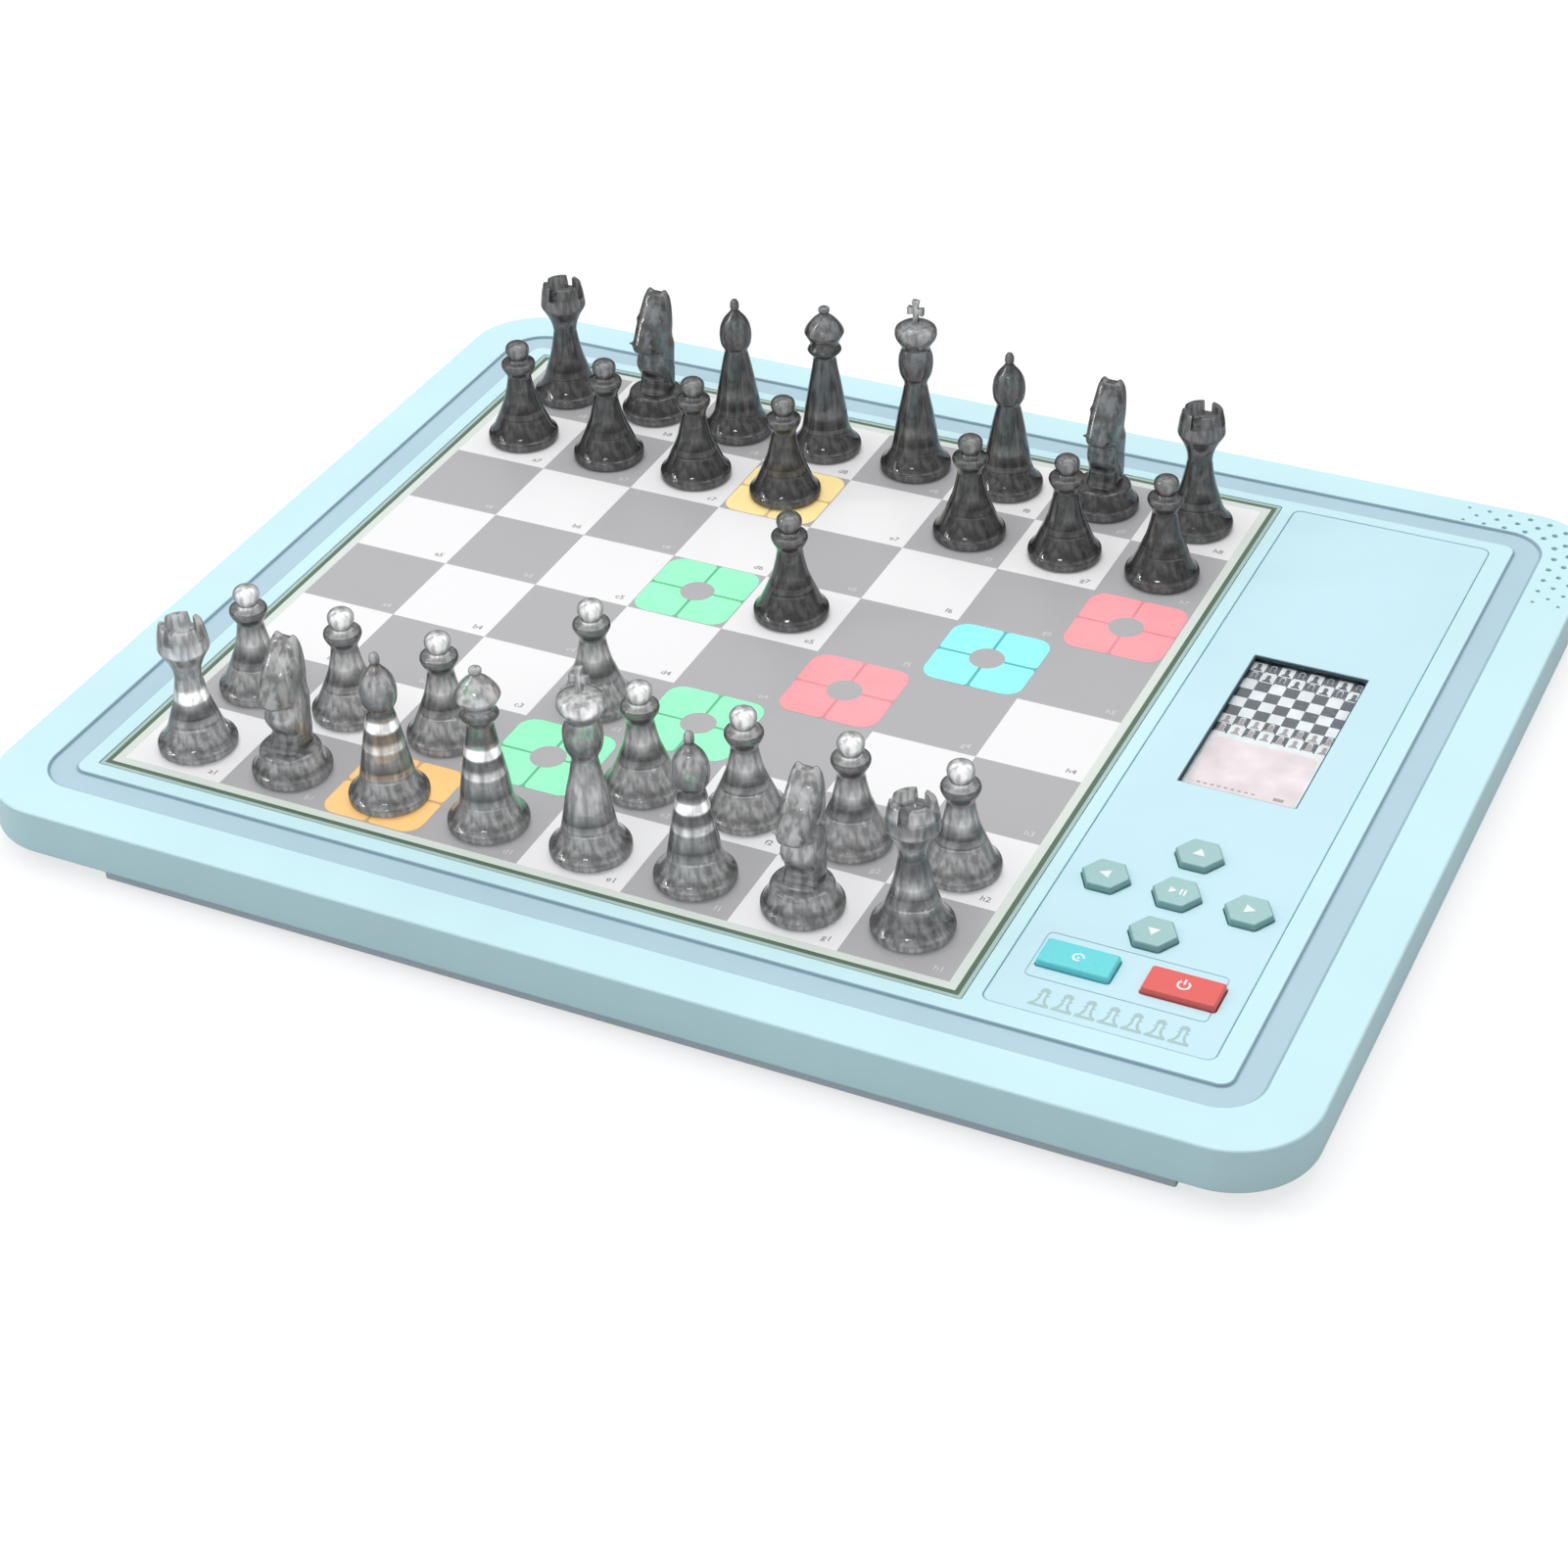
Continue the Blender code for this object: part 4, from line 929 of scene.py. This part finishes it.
def make_key(node, surface, slot):
    """Key cap with rounded edges and a shallow dish."""
    low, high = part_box(node)
    flange_top = low.z + 0.8 * MM
    rings = [(key_outline(node, KEY_FLANGE, KEY_CORNER), low.z),
             (key_outline(node, KEY_FLANGE, KEY_CORNER), flange_top),
             (key_outline(node, 0.0, KEY_CORNER), flange_top)]
    for inwards, upwards in quarter(KEY_EDGE, 5):
        rings.append((key_outline(node, -inwards, KEY_CORNER), high.z - KEY_EDGE + upwards))
    for share in (0.25, 0.5, 0.75):
        inwards = KEY_EDGE + share * 3.5 * MM
        rings.append((key_outline(node, -inwards, KEY_CORNER * (1 - share / 2)),
                      high.z - 0.12 * MM * math.sin(share * math.pi / 2)))
    bm = bmesh.new()
    add_loft(bm, rings)
    cap = smooth(as_object(node + "_cap", bm, surface), 50.0)
    settle(keep_flats(cap), node, slot, node)
    return cap


def arrow(turn, size=1.9 * MM):
    """Triangle that points along X before it is turned, in degrees."""
    points = [(size, 0.0), (-size * 0.6, size * 0.95), (-size * 0.6, -size * 0.95)]
    c, s = math.cos(math.radians(turn)), math.sin(math.radians(turn))
    return [(x * c - y * s, x * s + y * c) for x, y in points]


def bar(x, y, width, depth):
    return [(x - width / 2, y - depth / 2), (x + width / 2, y - depth / 2),
            (x + width / 2, y + depth / 2), (x - width / 2, y + depth / 2)]


def arc_band(radius, width, first, last, steps=18):
    """Band along an arc, from one angle to another in degrees."""
    turns = [math.radians(first + (last - first) * step / steps) for step in range(steps + 1)]
    outer = [((radius + width / 2) * math.cos(t), (radius + width / 2) * math.sin(t)) for t in turns]
    inner = [((radius - width / 2) * math.cos(t), (radius - width / 2) * math.sin(t)) for t in turns]
    return outer + inner[::-1]


KEY_ICONS = {
    "up_key": [arrow(90)],
    "down_key": [arrow(-90)],
    "left_key": [arrow(180)],
    "right_key": [arrow(0)],
    "centre_key": [moved(arrow(0, 1.4 * MM), (-1.3 * MM, 0.0)), bar(1.1 * MM, 0.0, 0.6 * MM, 2.6 * MM),
                   bar(2.2 * MM, 0.0, 0.6 * MM, 2.6 * MM)],
    "cyan_key": [arc_band(1.4 * MM, 0.6 * MM, 0, 300), bar(0.0, -0.2 * MM, 0.7 * MM, 0.7 * MM)],
    "red_key": [arc_band(1.6 * MM, 0.6 * MM, 125, 415), bar(0.0, 1.3 * MM, 0.6 * MM, 2.2 * MM)],
}


def make_keys():
    for node in HEX_KEYS:
        cap = make_key(node, hex_plastic, "grey_green_key_plastic")
        # The sides, which do not face up, take the darker copy: painted shade.
        cap.data.materials.append(hex_shade_plastic)
        for face in cap.data.polygons:
            face.material_index = 1 if face.normal.z < 0.93 else 0
    make_key("cyan_key", cyan_plastic, "cyan_key_plastic")
    make_key("red_key", red_plastic, "red_key_plastic")
    for node, shapes in KEY_ICONS.items():
        bm = bmesh.new()
        middle = node_centre(node).xy
        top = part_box(node)[1].z
        for shape in shapes:
            add_prism(bm, moved(shape, middle), top - 0.3 * MM, top - 0.02 * MM)
        settle(as_object(node + "_icon", bm, icon_ink), node, "printed_sheet")


# ---------------------------------------------------------------- display


def pawn_silhouette(size):
    """Flat pawn, standing on its base, made of a few straight and round stretches."""
    side = [(0.34, 0.0), (0.34, 0.1), (0.2, 0.22), (0.12, 0.5), (0.22, 0.58), (0.12, 0.62)]
    head = [(0.17 * math.cos(t), 0.76 + 0.17 * math.sin(t)) for t in
            [math.radians(a) for a in range(-40, 221, 20)]]
    right = side
    left = [(-x, y) for x, y in reversed(side)]
    return [(x * size, y * size) for x, y in right + head + left]


def make_display():
    low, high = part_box("display_module")
    middle = node_centre("display_window").xy
    floor = high.z - 0.4 * MM
    left, right = middle.x - WINDOW_SIZE[0] / 2, middle.x + WINDOW_SIZE[0] / 2
    far = middle.y + WINDOW_SIZE[1] / 2
    near = middle.y - WINDOW_SIZE[1] / 2
    cell = WINDOW_SIZE[0] / 8
    rank = 39.0 * MM / 8
    bm = bmesh.new()
    base = box_ring(left, near, right, far)
    add_prism(bm, base, floor, floor + PRINT, 0)
    for column in range(8):
        for row in range(8):
            x, y = left + column * cell, far - (row + 1) * rank
            if (row + column) % 2:
                add_prism(bm, box_ring(x, y, x + cell, y + rank), floor, floor + 2 * PRINT, 1)
            if row in (0, 1, 6, 7):
                ink = 1 if row < 2 else 3
                if (row + column) % 2 or row > 5:
                    halo = pawn_silhouette(rank * 1.02)
                    add_prism(bm, moved(halo, (x + cell / 2, y)), floor, floor + 3 * PRINT, 0)
                add_prism(bm, moved(pawn_silhouette(rank * 0.82), (x + cell / 2, y + 0.09 * rank)),
                          floor, floor + 4 * PRINT, ink)
    board_near = far - 8 * rank
    width, depth = right - left - 3.4 * MM, board_near - near - 4.6 * MM
    card = rounded_box(width, depth, 2.6 * MM, (middle.x - 0.2 * MM, (board_near + near) / 2 + 0.2 * MM), 6)
    add_prism(bm, card, floor, floor + 2 * PRINT, 2)
    for step in range(9):
        x = left + 4.2 * MM + step * 2.0 * MM
        add_prism(bm, box_ring(x, near + 4.7 * MM, x + 1.0 * MM, near + 5.4 * MM), floor, floor + 3 * PRINT, 3)
    add_prism(bm, box_ring(right - 8.2 * MM, near + 4.4 * MM, right - 5.2 * MM, near + 5.8 * MM),
              floor, floor + 4 * PRINT, 3)
    picture = as_object("display_picture", bm, screen_white, screen_dark, screen_pink, screen_grey)
    settle(picture, "board", "display")
    # A dark lining on the window's walls stands in for the shade in the window recess.
    shade_lining = bmesh.new()
    outline = lambda inset: rounded_box(WINDOW_SIZE[0] - 2 * inset, WINDOW_SIZE[1] - 2 * inset,
                                        0.3 * MM, tuple(middle), 3)
    add_frame(shade_lining, outline(0.03 * MM), outline(0.4 * MM), PANEL_LOW.z, PANEL_TOP - 0.35 * MM)
    settle(as_object("window_shade_lining", shade_lining, shade_lining_rubber), "board", "display")


def box_ring(x0, y0, x1, y1):
    return [(x0, y0), (x1, y0), (x1, y1), (x0, y1)]


def make_ornament():
    """Row of plain pawn outlines along the near end of the panel."""
    bm = bmesh.new()
    count, size = 7, 8.2 * MM
    first = PANEL_LOW.x + 14.5 * MM
    pitch = (PANEL_HIGH.x - PANEL_LOW.x - 25 * MM) / (count - 1)
    low = PANEL_LOW.y + 2.6 * MM
    for index in range(count):
        outer = pawn_silhouette(size)
        place = (first + index * pitch, low)
        inner = [(x * 0.4, y * 0.66 + 0.12 * size) for x, y in outer]
        add_frame(bm, moved(outer, place), moved(inner, place), PANEL_TOP, PANEL_TOP + PRINT)
    settle(as_object("panel_ornament", bm, pale_ink), "board", "panel")


# ---------------------------------------------------------------- chess pieces

TURN_STEPS = 72
FOOT = [
    [(0.0, 0.0), (10.9, 0.0)],
    [(10.9, 0.0), (11.45, 0.25), (11.6, 0.9), (11.6, 1.8), (11.4, 2.5), (10.8, 3.0)],
]
PROFILES = {
    "pawn": FOOT + [
        [(10.8, 3.0), (9.7, 4.6), (8.5, 7.2), (7.3, 10.0), (6.3, 12.5), (5.4, 15.0), (4.3, 19.8), (3.9, 22.6)],
        [(3.9, 22.6), (4.3, 23.9), (5.2, 25.6), (5.6, 26.8), (5.5, 27.6)],
        [(5.5, 27.6), (5.1, 28.1), (3.5, 28.6), (2.9, 29.2)],
        [(2.9, 29.2), (3.5, 30.4), (3.9, 32.0), (3.6, 33.6), (2.3, 34.7), (0.0, 35.0)],
    ],
    "rook": FOOT + [
        [(10.8, 3.0), (9.6, 4.4), (8.2, 7.0), (7.2, 10.0), (5.6, 15.0), (4.5, 20.0), (3.85, 24.2)],
        [(3.85, 24.2), (4.3, 27.0), (5.5, 30.0), (7.2, 33.0)],
        [(7.2, 33.0), (7.45, 33.8), (7.35, 35.0)],
        [(7.35, 35.0), (6.9, 38.5), (6.25, 41.2)],
        [(6.25, 41.2), (5.95, 41.5)],
        [(5.95, 41.5), (0.0, 41.5)],
    ],
    "knight": FOOT + [
        [(10.8, 3.0), (9.9, 4.6), (9.2, 6.2), (8.9, 7.4)],
        [(8.9, 7.4), (8.5, 8.1), (7.6, 8.5)],
        [(7.6, 8.5), (0.0, 8.5)],
    ],
    "bishop": FOOT + [
        [(10.8, 3.0), (9.6, 4.4), (8.2, 7.0), (7.5, 10.0), (6.6, 15.0), (5.7, 20.0), (4.7, 25.0),
         (3.75, 29.4)],
        [(3.75, 29.4), (4.1, 30.6), (4.9, 32.2), (5.25, 34.5), (5.2, 36.6), (4.7, 39.0), (3.6, 41.2),
         (2.1, 43.0), (1.2, 44.2)],
        [(1.2, 44.2), (1.5, 45.2), (1.35, 46.8), (0.7, 47.8), (0.0, 48.0)],
    ],
    "queen": FOOT + [
        [(10.8, 3.0), (9.6, 4.4), (8.2, 7.0), (7.5, 10.0), (6.8, 15.0), (5.95, 20.0), (5.1, 25.0),
         (4.2, 30.0), (3.7, 33.6)],
        [(3.7, 33.6), (4.3, 34.8), (5.3, 35.9), (5.55, 36.5)],
        [(5.55, 36.5), (5.3, 37.1), (4.5, 38.2)],
        [(4.5, 38.2), (5.0, 39.8), (5.9, 41.4), (6.45, 42.6)],
        [(6.45, 42.6), (6.2, 43.6), (5.2, 45.3), (3.6, 47.2), (2.0, 48.6), (1.3, 49.3)],
        [(1.3, 49.3), (1.8, 50.0), (1.75, 50.9), (1.0, 51.5), (0.0, 51.6)],
    ],
    "king": FOOT + [
        [(10.8, 3.0), (9.6, 4.4), (8.2, 7.0), (7.5, 10.0), (6.6, 15.0), (5.8, 20.0), (4.7, 25.0),
         (3.65, 30.8)],
        [(3.65, 30.8), (4.2, 32.4), (5.1, 34.4), (5.6, 37.4), (5.5, 40.2), (4.9, 42.2), (4.3, 43.4)],
        [(4.3, 43.4), (5.2, 45.0), (6.4, 46.9), (6.8, 48.2)],
        [(6.8, 48.2), (6.75, 49.4), (6.2, 50.6), (4.6, 51.6)],
        [(4.6, 51.6), (1.6, 52.3), (0.0, 52.4)],
    ],
}


def curve_through(points, steps=5):
    """Catmull-Rom curve through the points, ends included."""
    if len(points) == 2:
        return list(points)
    padded = [points[0]] + list(points) + [points[-1]]
    out = []
    for a, b, c, d in zip(padded, padded[1:], padded[2:], padded[3:]):
        for step in range(steps):
            t = step / steps
            out.append(tuple(0.5 * (2 * q + (r - p) * t + (2 * p - 5 * q + 4 * r - s) * t * t
                                    + (3 * q - p - 3 * r + s) * t ** 3)
                             for p, q, r, s in zip(a, b, c, d)))
    return out + [points[-1]]


def turned_profile(sections):
    """(radius, z) in metres, corners only where two sections meet."""
    points = []
    for section in sections:
        run = curve_through(section)
        points += run if not points else run[1:]
    return [(max(0.0, radius) * MM, z * MM) for radius, z in points]


def turned_blank(kind):
    bm = bmesh.new()
    add_turned(bm, turned_profile(PROFILES[kind]), TURN_STEPS)
    return as_object(kind + "_blank", bm)


def crenel_tool():
    bm = bmesh.new()
    bore = circle(4.4 * MM, 48)
    add_loft(bm, [(circle(4.0 * MM, 48), 36.4 * MM), (bore, 36.9 * MM), (bore, 43.0 * MM)])
    tool = as_object("crenels", bm)
    for turn in (0, 1):
        slot = bmesh.new()
        size = (20 * MM, 3.0 * MM) if turn else (3.0 * MM, 20 * MM)
        add_prism(slot, rounded_box(*size, 0.0, (0.0, 0.0), 1), 37.2 * MM, 43.0 * MM)
        bmesh.ops.remove_doubles(slot, verts=slot.verts, dist=1e-6)
        boolean(tool, as_object(f"slot_{turn}", slot), "UNION")
    return freeze(tool)


def cross_tool():
    """The king's cross, its arms wider at their ends."""
    bm = bmesh.new()
    outline = [(-0.9, 52.0), (0.9, 52.0), (0.7, 55.4), (2.7, 54.9), (2.7, 57.7), (0.7, 57.2), (1.2, 60.0),
               (-1.2, 60.0), (-0.7, 57.2), (-2.7, 57.7), (-2.7, 54.9), (-0.7, 55.4)]
    rows = []
    for side in (-1, 1):
        rows.append([bm.verts.new((x * MM, side * 1.0 * MM, z * MM)) for x, z in outline])
    bridge(bm, *rows)
    for row in rows:
        bm.faces.new(row)
    tool = as_object("cross", bm)
    edge = tool.modifiers.new("soft_edges", "BEVEL")
    edge.width = 0.3 * MM
    edge.segments = 3
    edge.limit_method = "ANGLE"
    return freeze(tool)


HORSE = [
    # height, back, front, half width; forward of the axis is positive
    (7.4, -6.2, 5.6, 5.7),
    (10.2, -6.3, 3.8, 5.7),
    (13.6, -6.5, 3.0, 5.7),
    (17.0, -6.9, 5.2, 5.7),
    (19.8, -7.3, 6.1, 5.7),
    (22.2, -7.6, 5.0, 5.6),
    (24.0, -7.8, 4.4, 5.5),
    (25.0, -7.9, 7.4, 5.3),
    (25.9, -8.0, 9.2, 5.1),
    (27.8, -8.1, 9.7, 5.0),
    (30.6, -8.1, 7.6, 5.2),
    (35.2, -7.7, 4.0, 5.2),
    (39.2, -6.9, 0.0, 4.9),
    (41.4, -6.3, -1.6, 4.4),
    (42.4, -5.6, -2.8, 3.5),
]


def horse_ring(height, back, front, half):
    """Rounded section of the neck and head, narrower towards the face."""
    middle, reach = (back + front) / 2, (front - back) / 2
    points = []
    for step in range(40):
        turn = 2 * math.pi * step / 40
        c, s = math.cos(turn), math.sin(turn)
        along = middle + reach * math.copysign(abs(s) ** 0.62, s)
        slim = 1 - 0.14 * (along - back) / (front - back)
        points.append((half * slim * math.copysign(abs(c) ** 0.62, c) * MM, -along * MM))
    return points


def knight_head():
    """Neck and head as a stack of rounded sections, with ears, mane and eyes melted in."""
    bm = bmesh.new()
    add_loft(bm, [(horse_ring(*row), row[0] * MM) for row in curve_through(HORSE, 4)])
    head = as_object("horse", bm)
    ears = bmesh.new()
    for side in (-1, 1):
        rings = [(1.9, 37.0, 2.4, -4.2), (1.8, 40.6, 2.5, -4.4), (1.2, 42.4, 2.6, -4.6), (0.4, 43.5, 2.6, -4.8)]
        add_loft(ears, [(circle(radius * MM, 14, (side * out * MM, -forward * MM)), z * MM)
                        for radius, z, out, forward in rings])
    boolean(head, as_object("ears", ears), "UNION")
    mane = bmesh.new()
    for row in range(11):
        z, back = 11.0 + 2.9 * row, 7.0 - 0.06 * abs(row - 6) ** 1.6
        curl = [(1.9, z - 1.5), (2.2, z - 0.2), (1.5, z + 1.3)]
        add_loft(mane, [(circle(radius * MM, 14, (0.0, (back - 1.0) * MM)), height * MM)
                        for radius, height in curl])
    boolean(head, as_object("mane", mane), "UNION")
    face = bmesh.new()
    for side in (-1, 1):
        for forward, z, radius in ((1.6, 34.6, 1.0), (8.2, 28.6, 0.6)):
            bmesh.ops.create_uvsphere(face, u_segments=12, v_segments=8, radius=radius * MM,
                                      matrix=Matrix.Translation((side * 4.1 * MM, -forward * MM, z * MM)))
    boolean(head, as_object("face", face), "UNION")
    freeze(head)
    remesh = head.modifiers.new("one_skin", "REMESH")
    remesh.mode = "VOXEL"
    remesh.voxel_size = 0.42 * MM
    remesh.use_smooth_shade = True
    soften = head.modifiers.new("soften", "CORRECTIVE_SMOOTH")
    soften.iterations = 6
    soften.use_only_smooth = True
    return freeze(head)


def finished_piece(kind):
    blank = turned_blank(kind)
    if kind == "rook":
        boolean(blank, crenel_tool())
    elif kind == "king":
        boolean(blank, cross_tool(), "UNION")
    elif kind == "knight":
        boolean(blank, knight_head(), "UNION")
    smooth(freeze(blank), 30.0)
    mesh = blank.data
    bpy.data.objects.remove(blank)
    return mesh


def make_pieces():
    shapes = {}
    for node in sorted(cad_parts):
        parts = node.split("_")
        if parts[0] not in ("clear", "smoke") or parts[1] not in PROFILES:
            continue
        side, kind, square = parts
        if kind not in shapes:
            shapes[kind] = finished_piece(kind)
        if (side, kind) not in shapes:
            mesh = shapes[kind].copy()
            mesh.materials.clear()
            mesh.materials.append(ACRYLICS[side, kind])
            shapes[(side, kind)] = mesh
        obj = bpy.data.objects.new(f"{side}_{kind}_on_{square}", shapes[(side, kind)])
        bpy.context.scene.collection.objects.link(obj)
        if node in ACRYLICS:
            obj.data = obj.data.copy()
            obj.data.materials[0] = ACRYLICS[node]
        middle = node_centre(node)
        obj.location = (middle.x, middle.y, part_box(node)[0].z)
        settle(obj, node, side + "_acrylic", node)


# ---------------------------------------------------------------- CAD nodes that stay

KEPT = {
    "light_guide_grid": white_plastic,
    "sensor_board": circuit_green,
    "control_board": circuit_green,
    "display_window": lens_acrylic,
    "display_module": module_black,
    "key_mat": mat_silicone,
    "speaker": speaker_black,
    "battery_pack": battery_foil,
    "usb_socket": steel,
}


def dress_kept_nodes():
    for node, surface in KEPT.items():
        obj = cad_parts[node]
        obj.data.materials.clear()
        obj.data.materials.append(surface)


def make_socket_tongue():
    low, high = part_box("usb_socket")
    middle = node_centre("usb_socket")
    bm = bmesh.new()
    outline = rounded_box(6.2 * MM, 5.0 * MM, 0.2 * MM, (middle.x, high.y - 3.4 * MM), 2)
    add_prism(bm, outline, middle.z - 0.35 * MM, middle.z + 0.35 * MM)
    settle(as_object("socket_tongue", bm, module_black), "board", "bright_steel")


# ---------------------------------------------------------------- studio

CAMERA_AIM = Vector((0.01657, -0.06449, SHEET_TOP))
CAMERA_AZIMUTH = 26.045
CAMERA_ELEVATION = 35.688
CAMERA_DISTANCE = 0.8957
CAMERA_ROLL = 1.683
CAMERA_LENS = 73.08


def make_floor():
    """Floor that the camera sees as pale, with a gap under the body for views from below."""
    bm = bmesh.new()
    outer = rounded_box(12.0, 12.0, 0.5, steps=2)
    inner = rounded_box(0.378, 0.306, 0.02, steps=2)
    rows = rows_of(bm, [(outer, 0.0), (inner, 0.0)])
    bridge(bm, *rows)
    bmesh.ops.recalc_face_normals(bm, faces=bm.faces)
    n = Nodes("studio_floor")
    path = n.add("ShaderNodeLightPath").outputs["Is Camera Ray"]
    n.set(Base_Color=n.mixed(path, (0.62, 0.63, 0.65), (0.36, 0.36, 0.36)), Roughness=0.9)
    n.set(Emission_Color=n.mixed(path, (0.0, 0.0, 0.0), (1.0, 1.0, 1.0)), Emission_Strength=0.70)
    clear = n.add("ShaderNodeBsdfTransparent")
    side = n.add("ShaderNodeNewGeometry")
    choose = n.add("ShaderNodeMixShader")
    n.link(side.outputs["Backfacing"], choose.inputs["Fac"])
    n.link(n.shader.outputs["BSDF"], choose.inputs[1])
    n.link(clear.outputs["BSDF"], choose.inputs[2])
    n.link(choose.outputs["Shader"], n.output.inputs["Surface"])
    floor = as_object("studio_floor", bm, n.material)
    if floor.data.polygons[0].normal.z < 0:
        floor.data.flip_normals()


SKY = ((0.0, 0.10), (0.12, 0.22), (0.35, 0.62), (0.6, 0.95), (1.0, 1.0))
SKY_STRENGTH = 0.86
DARK_SIDE = 0.5  # how much darker the studio is behind the camera


def make_world():
    """Bright overhead and underfoot, darker at the horizon and behind the camera, which sees white."""
    world = bpy.data.worlds.new("studio")
    bpy.context.scene.world = world
    world.use_nodes = True
    tree = world.node_tree
    tree.nodes.clear()
    add = tree.nodes.new
    place = add("ShaderNodeTexCoord").outputs["Generated"]
    split = add("ShaderNodeSeparateXYZ")
    height = add("ShaderNodeMath")
    ramp = add("ShaderNodeValToRGB")
    facing = add("ShaderNodeVectorMath")
    shade = add("ShaderNodeMapRange")
    strength = add("ShaderNodeMath")
    scene_light = add("ShaderNodeBackground")
    plain = add("ShaderNodeBackground")
    path = add("ShaderNodeLightPath")
    choose = add("ShaderNodeMixShader")
    out = add("ShaderNodeOutputWorld")
    tree.links.new(place, split.inputs["Vector"])
    height.operation = "ABSOLUTE"
    tree.links.new(split.outputs["Z"], height.inputs[0])
    tree.links.new(height.outputs["Value"], ramp.inputs["Fac"])
    tree.links.new(ramp.outputs["Color"], scene_light.inputs["Color"])
    stops = ramp.color_ramp.elements
    for stop, (position, level) in zip(stops, (SKY[0], SKY[-1])):
        stop.position, stop.color = position, (level, level, level * 1.02, 1.0)
    for position, level in SKY[1:-1]:
        stops.new(position).color = (level, level, level * 1.02, 1.0)
    azimuth = math.radians(CAMERA_AZIMUTH + 24)
    facing.operation = "DOT_PRODUCT"
    facing.inputs[1].default_value = (math.sin(azimuth), -math.cos(azimuth), 0.0)
    tree.links.new(place, facing.inputs[0])
    tree.links.new(facing.outputs["Value"], shade.inputs["Value"])
    shade.inputs["From Min"].default_value, shade.inputs["From Max"].default_value = 0.05, 0.8
    shade.inputs["To Min"].default_value, shade.inputs["To Max"].default_value = 1.0, 1 - DARK_SIDE
    strength.operation = "MULTIPLY"
    strength.inputs[1].default_value = SKY_STRENGTH
    tree.links.new(shade.outputs["Result"], strength.inputs[0])
    tree.links.new(strength.outputs["Value"], scene_light.inputs["Strength"])
    plain.inputs["Color"].default_value = (1.0, 1.0, 1.0, 1.0)
    tree.links.new(path.outputs["Is Camera Ray"], choose.inputs["Fac"])
    tree.links.new(scene_light.outputs["Background"], choose.inputs[1])
    tree.links.new(plain.outputs["Background"], choose.inputs[2])
    tree.links.new(choose.outputs["Shader"], out.inputs["Surface"])


def make_light(name, place, target, size, power, glint=False):
    """Area light; a glint is a small one that only shows in what is shiny or see-through."""
    light = bpy.data.lights.new(name, "AREA")
    light.shape = "RECTANGLE"
    light.size, light.size_y = size
    light.energy = power
    obj = bpy.data.objects.new(name, light)
    bpy.context.scene.collection.objects.link(obj)
    obj.location = place
    obj.rotation_mode = "QUATERNION"
    obj.rotation_quaternion = (Vector(target) - Vector(place)).to_track_quat("-Z", "Y")
    obj.visible_camera = False
    obj.visible_diffuse = not glint


def make_camera():
    data = bpy.data.cameras.new("camera")
    data.lens = CAMERA_LENS
    data.clip_start, data.clip_end = 0.01, 50.0
    camera = bpy.data.objects.new("camera", data)
    bpy.context.scene.collection.objects.link(camera)
    azimuth, elevation = math.radians(CAMERA_AZIMUTH), math.radians(CAMERA_ELEVATION)
    back = Vector((math.sin(azimuth) * math.cos(elevation), -math.cos(azimuth) * math.cos(elevation),
                   math.sin(elevation)))
    camera.location = CAMERA_AIM + CAMERA_DISTANCE * back
    turn = (-back).to_track_quat("-Z", "Y").to_matrix() @ Matrix.Rotation(-math.radians(CAMERA_ROLL), 3, "Z")
    camera.rotation_mode = "QUATERNION"
    camera.rotation_quaternion = turn.to_quaternion()
    bpy.context.scene.camera = camera


def make_studio():
    make_floor()
    make_world()
    make_light("overhead", (-0.1, 0.3, 1.6), (0.0, 0.0, 0.0), (1.4, 1.0), 10.0)
    make_light("left_strip", (-1.2, -0.5, 0.9), (0.0, 0.0, 0.0), (0.25, 1.0), 2.5)
    make_light("left_glint", (-0.9, -0.5, 0.75), (0.0, 0.0, 0.02), (0.05, 0.45), 2.2, glint=True)
    make_light("near_glint", (0.15, -1.1, 0.95), (0.0, 0.0, 0.02), (0.30, 0.05), 1.6, glint=True)
    make_camera()
    scene = bpy.context.scene
    scene.view_settings.view_transform = "Standard"
    scene.cycles.max_bounces = 20
    scene.cycles.transmission_bounces = 16
    scene.cycles.transparent_max_bounces = 24
    scene.cycles.glossy_bounces = 8
    scene.cycles.diffuse_bounces = 4


make_cover()
make_pan()
make_feet()
make_screws()
make_sheet()
make_lit_squares()
make_coordinates()
make_panel()
make_keys()
make_display()
make_ornament()
make_pieces()
make_socket_tongue()
dress_kept_nodes()
make_studio()
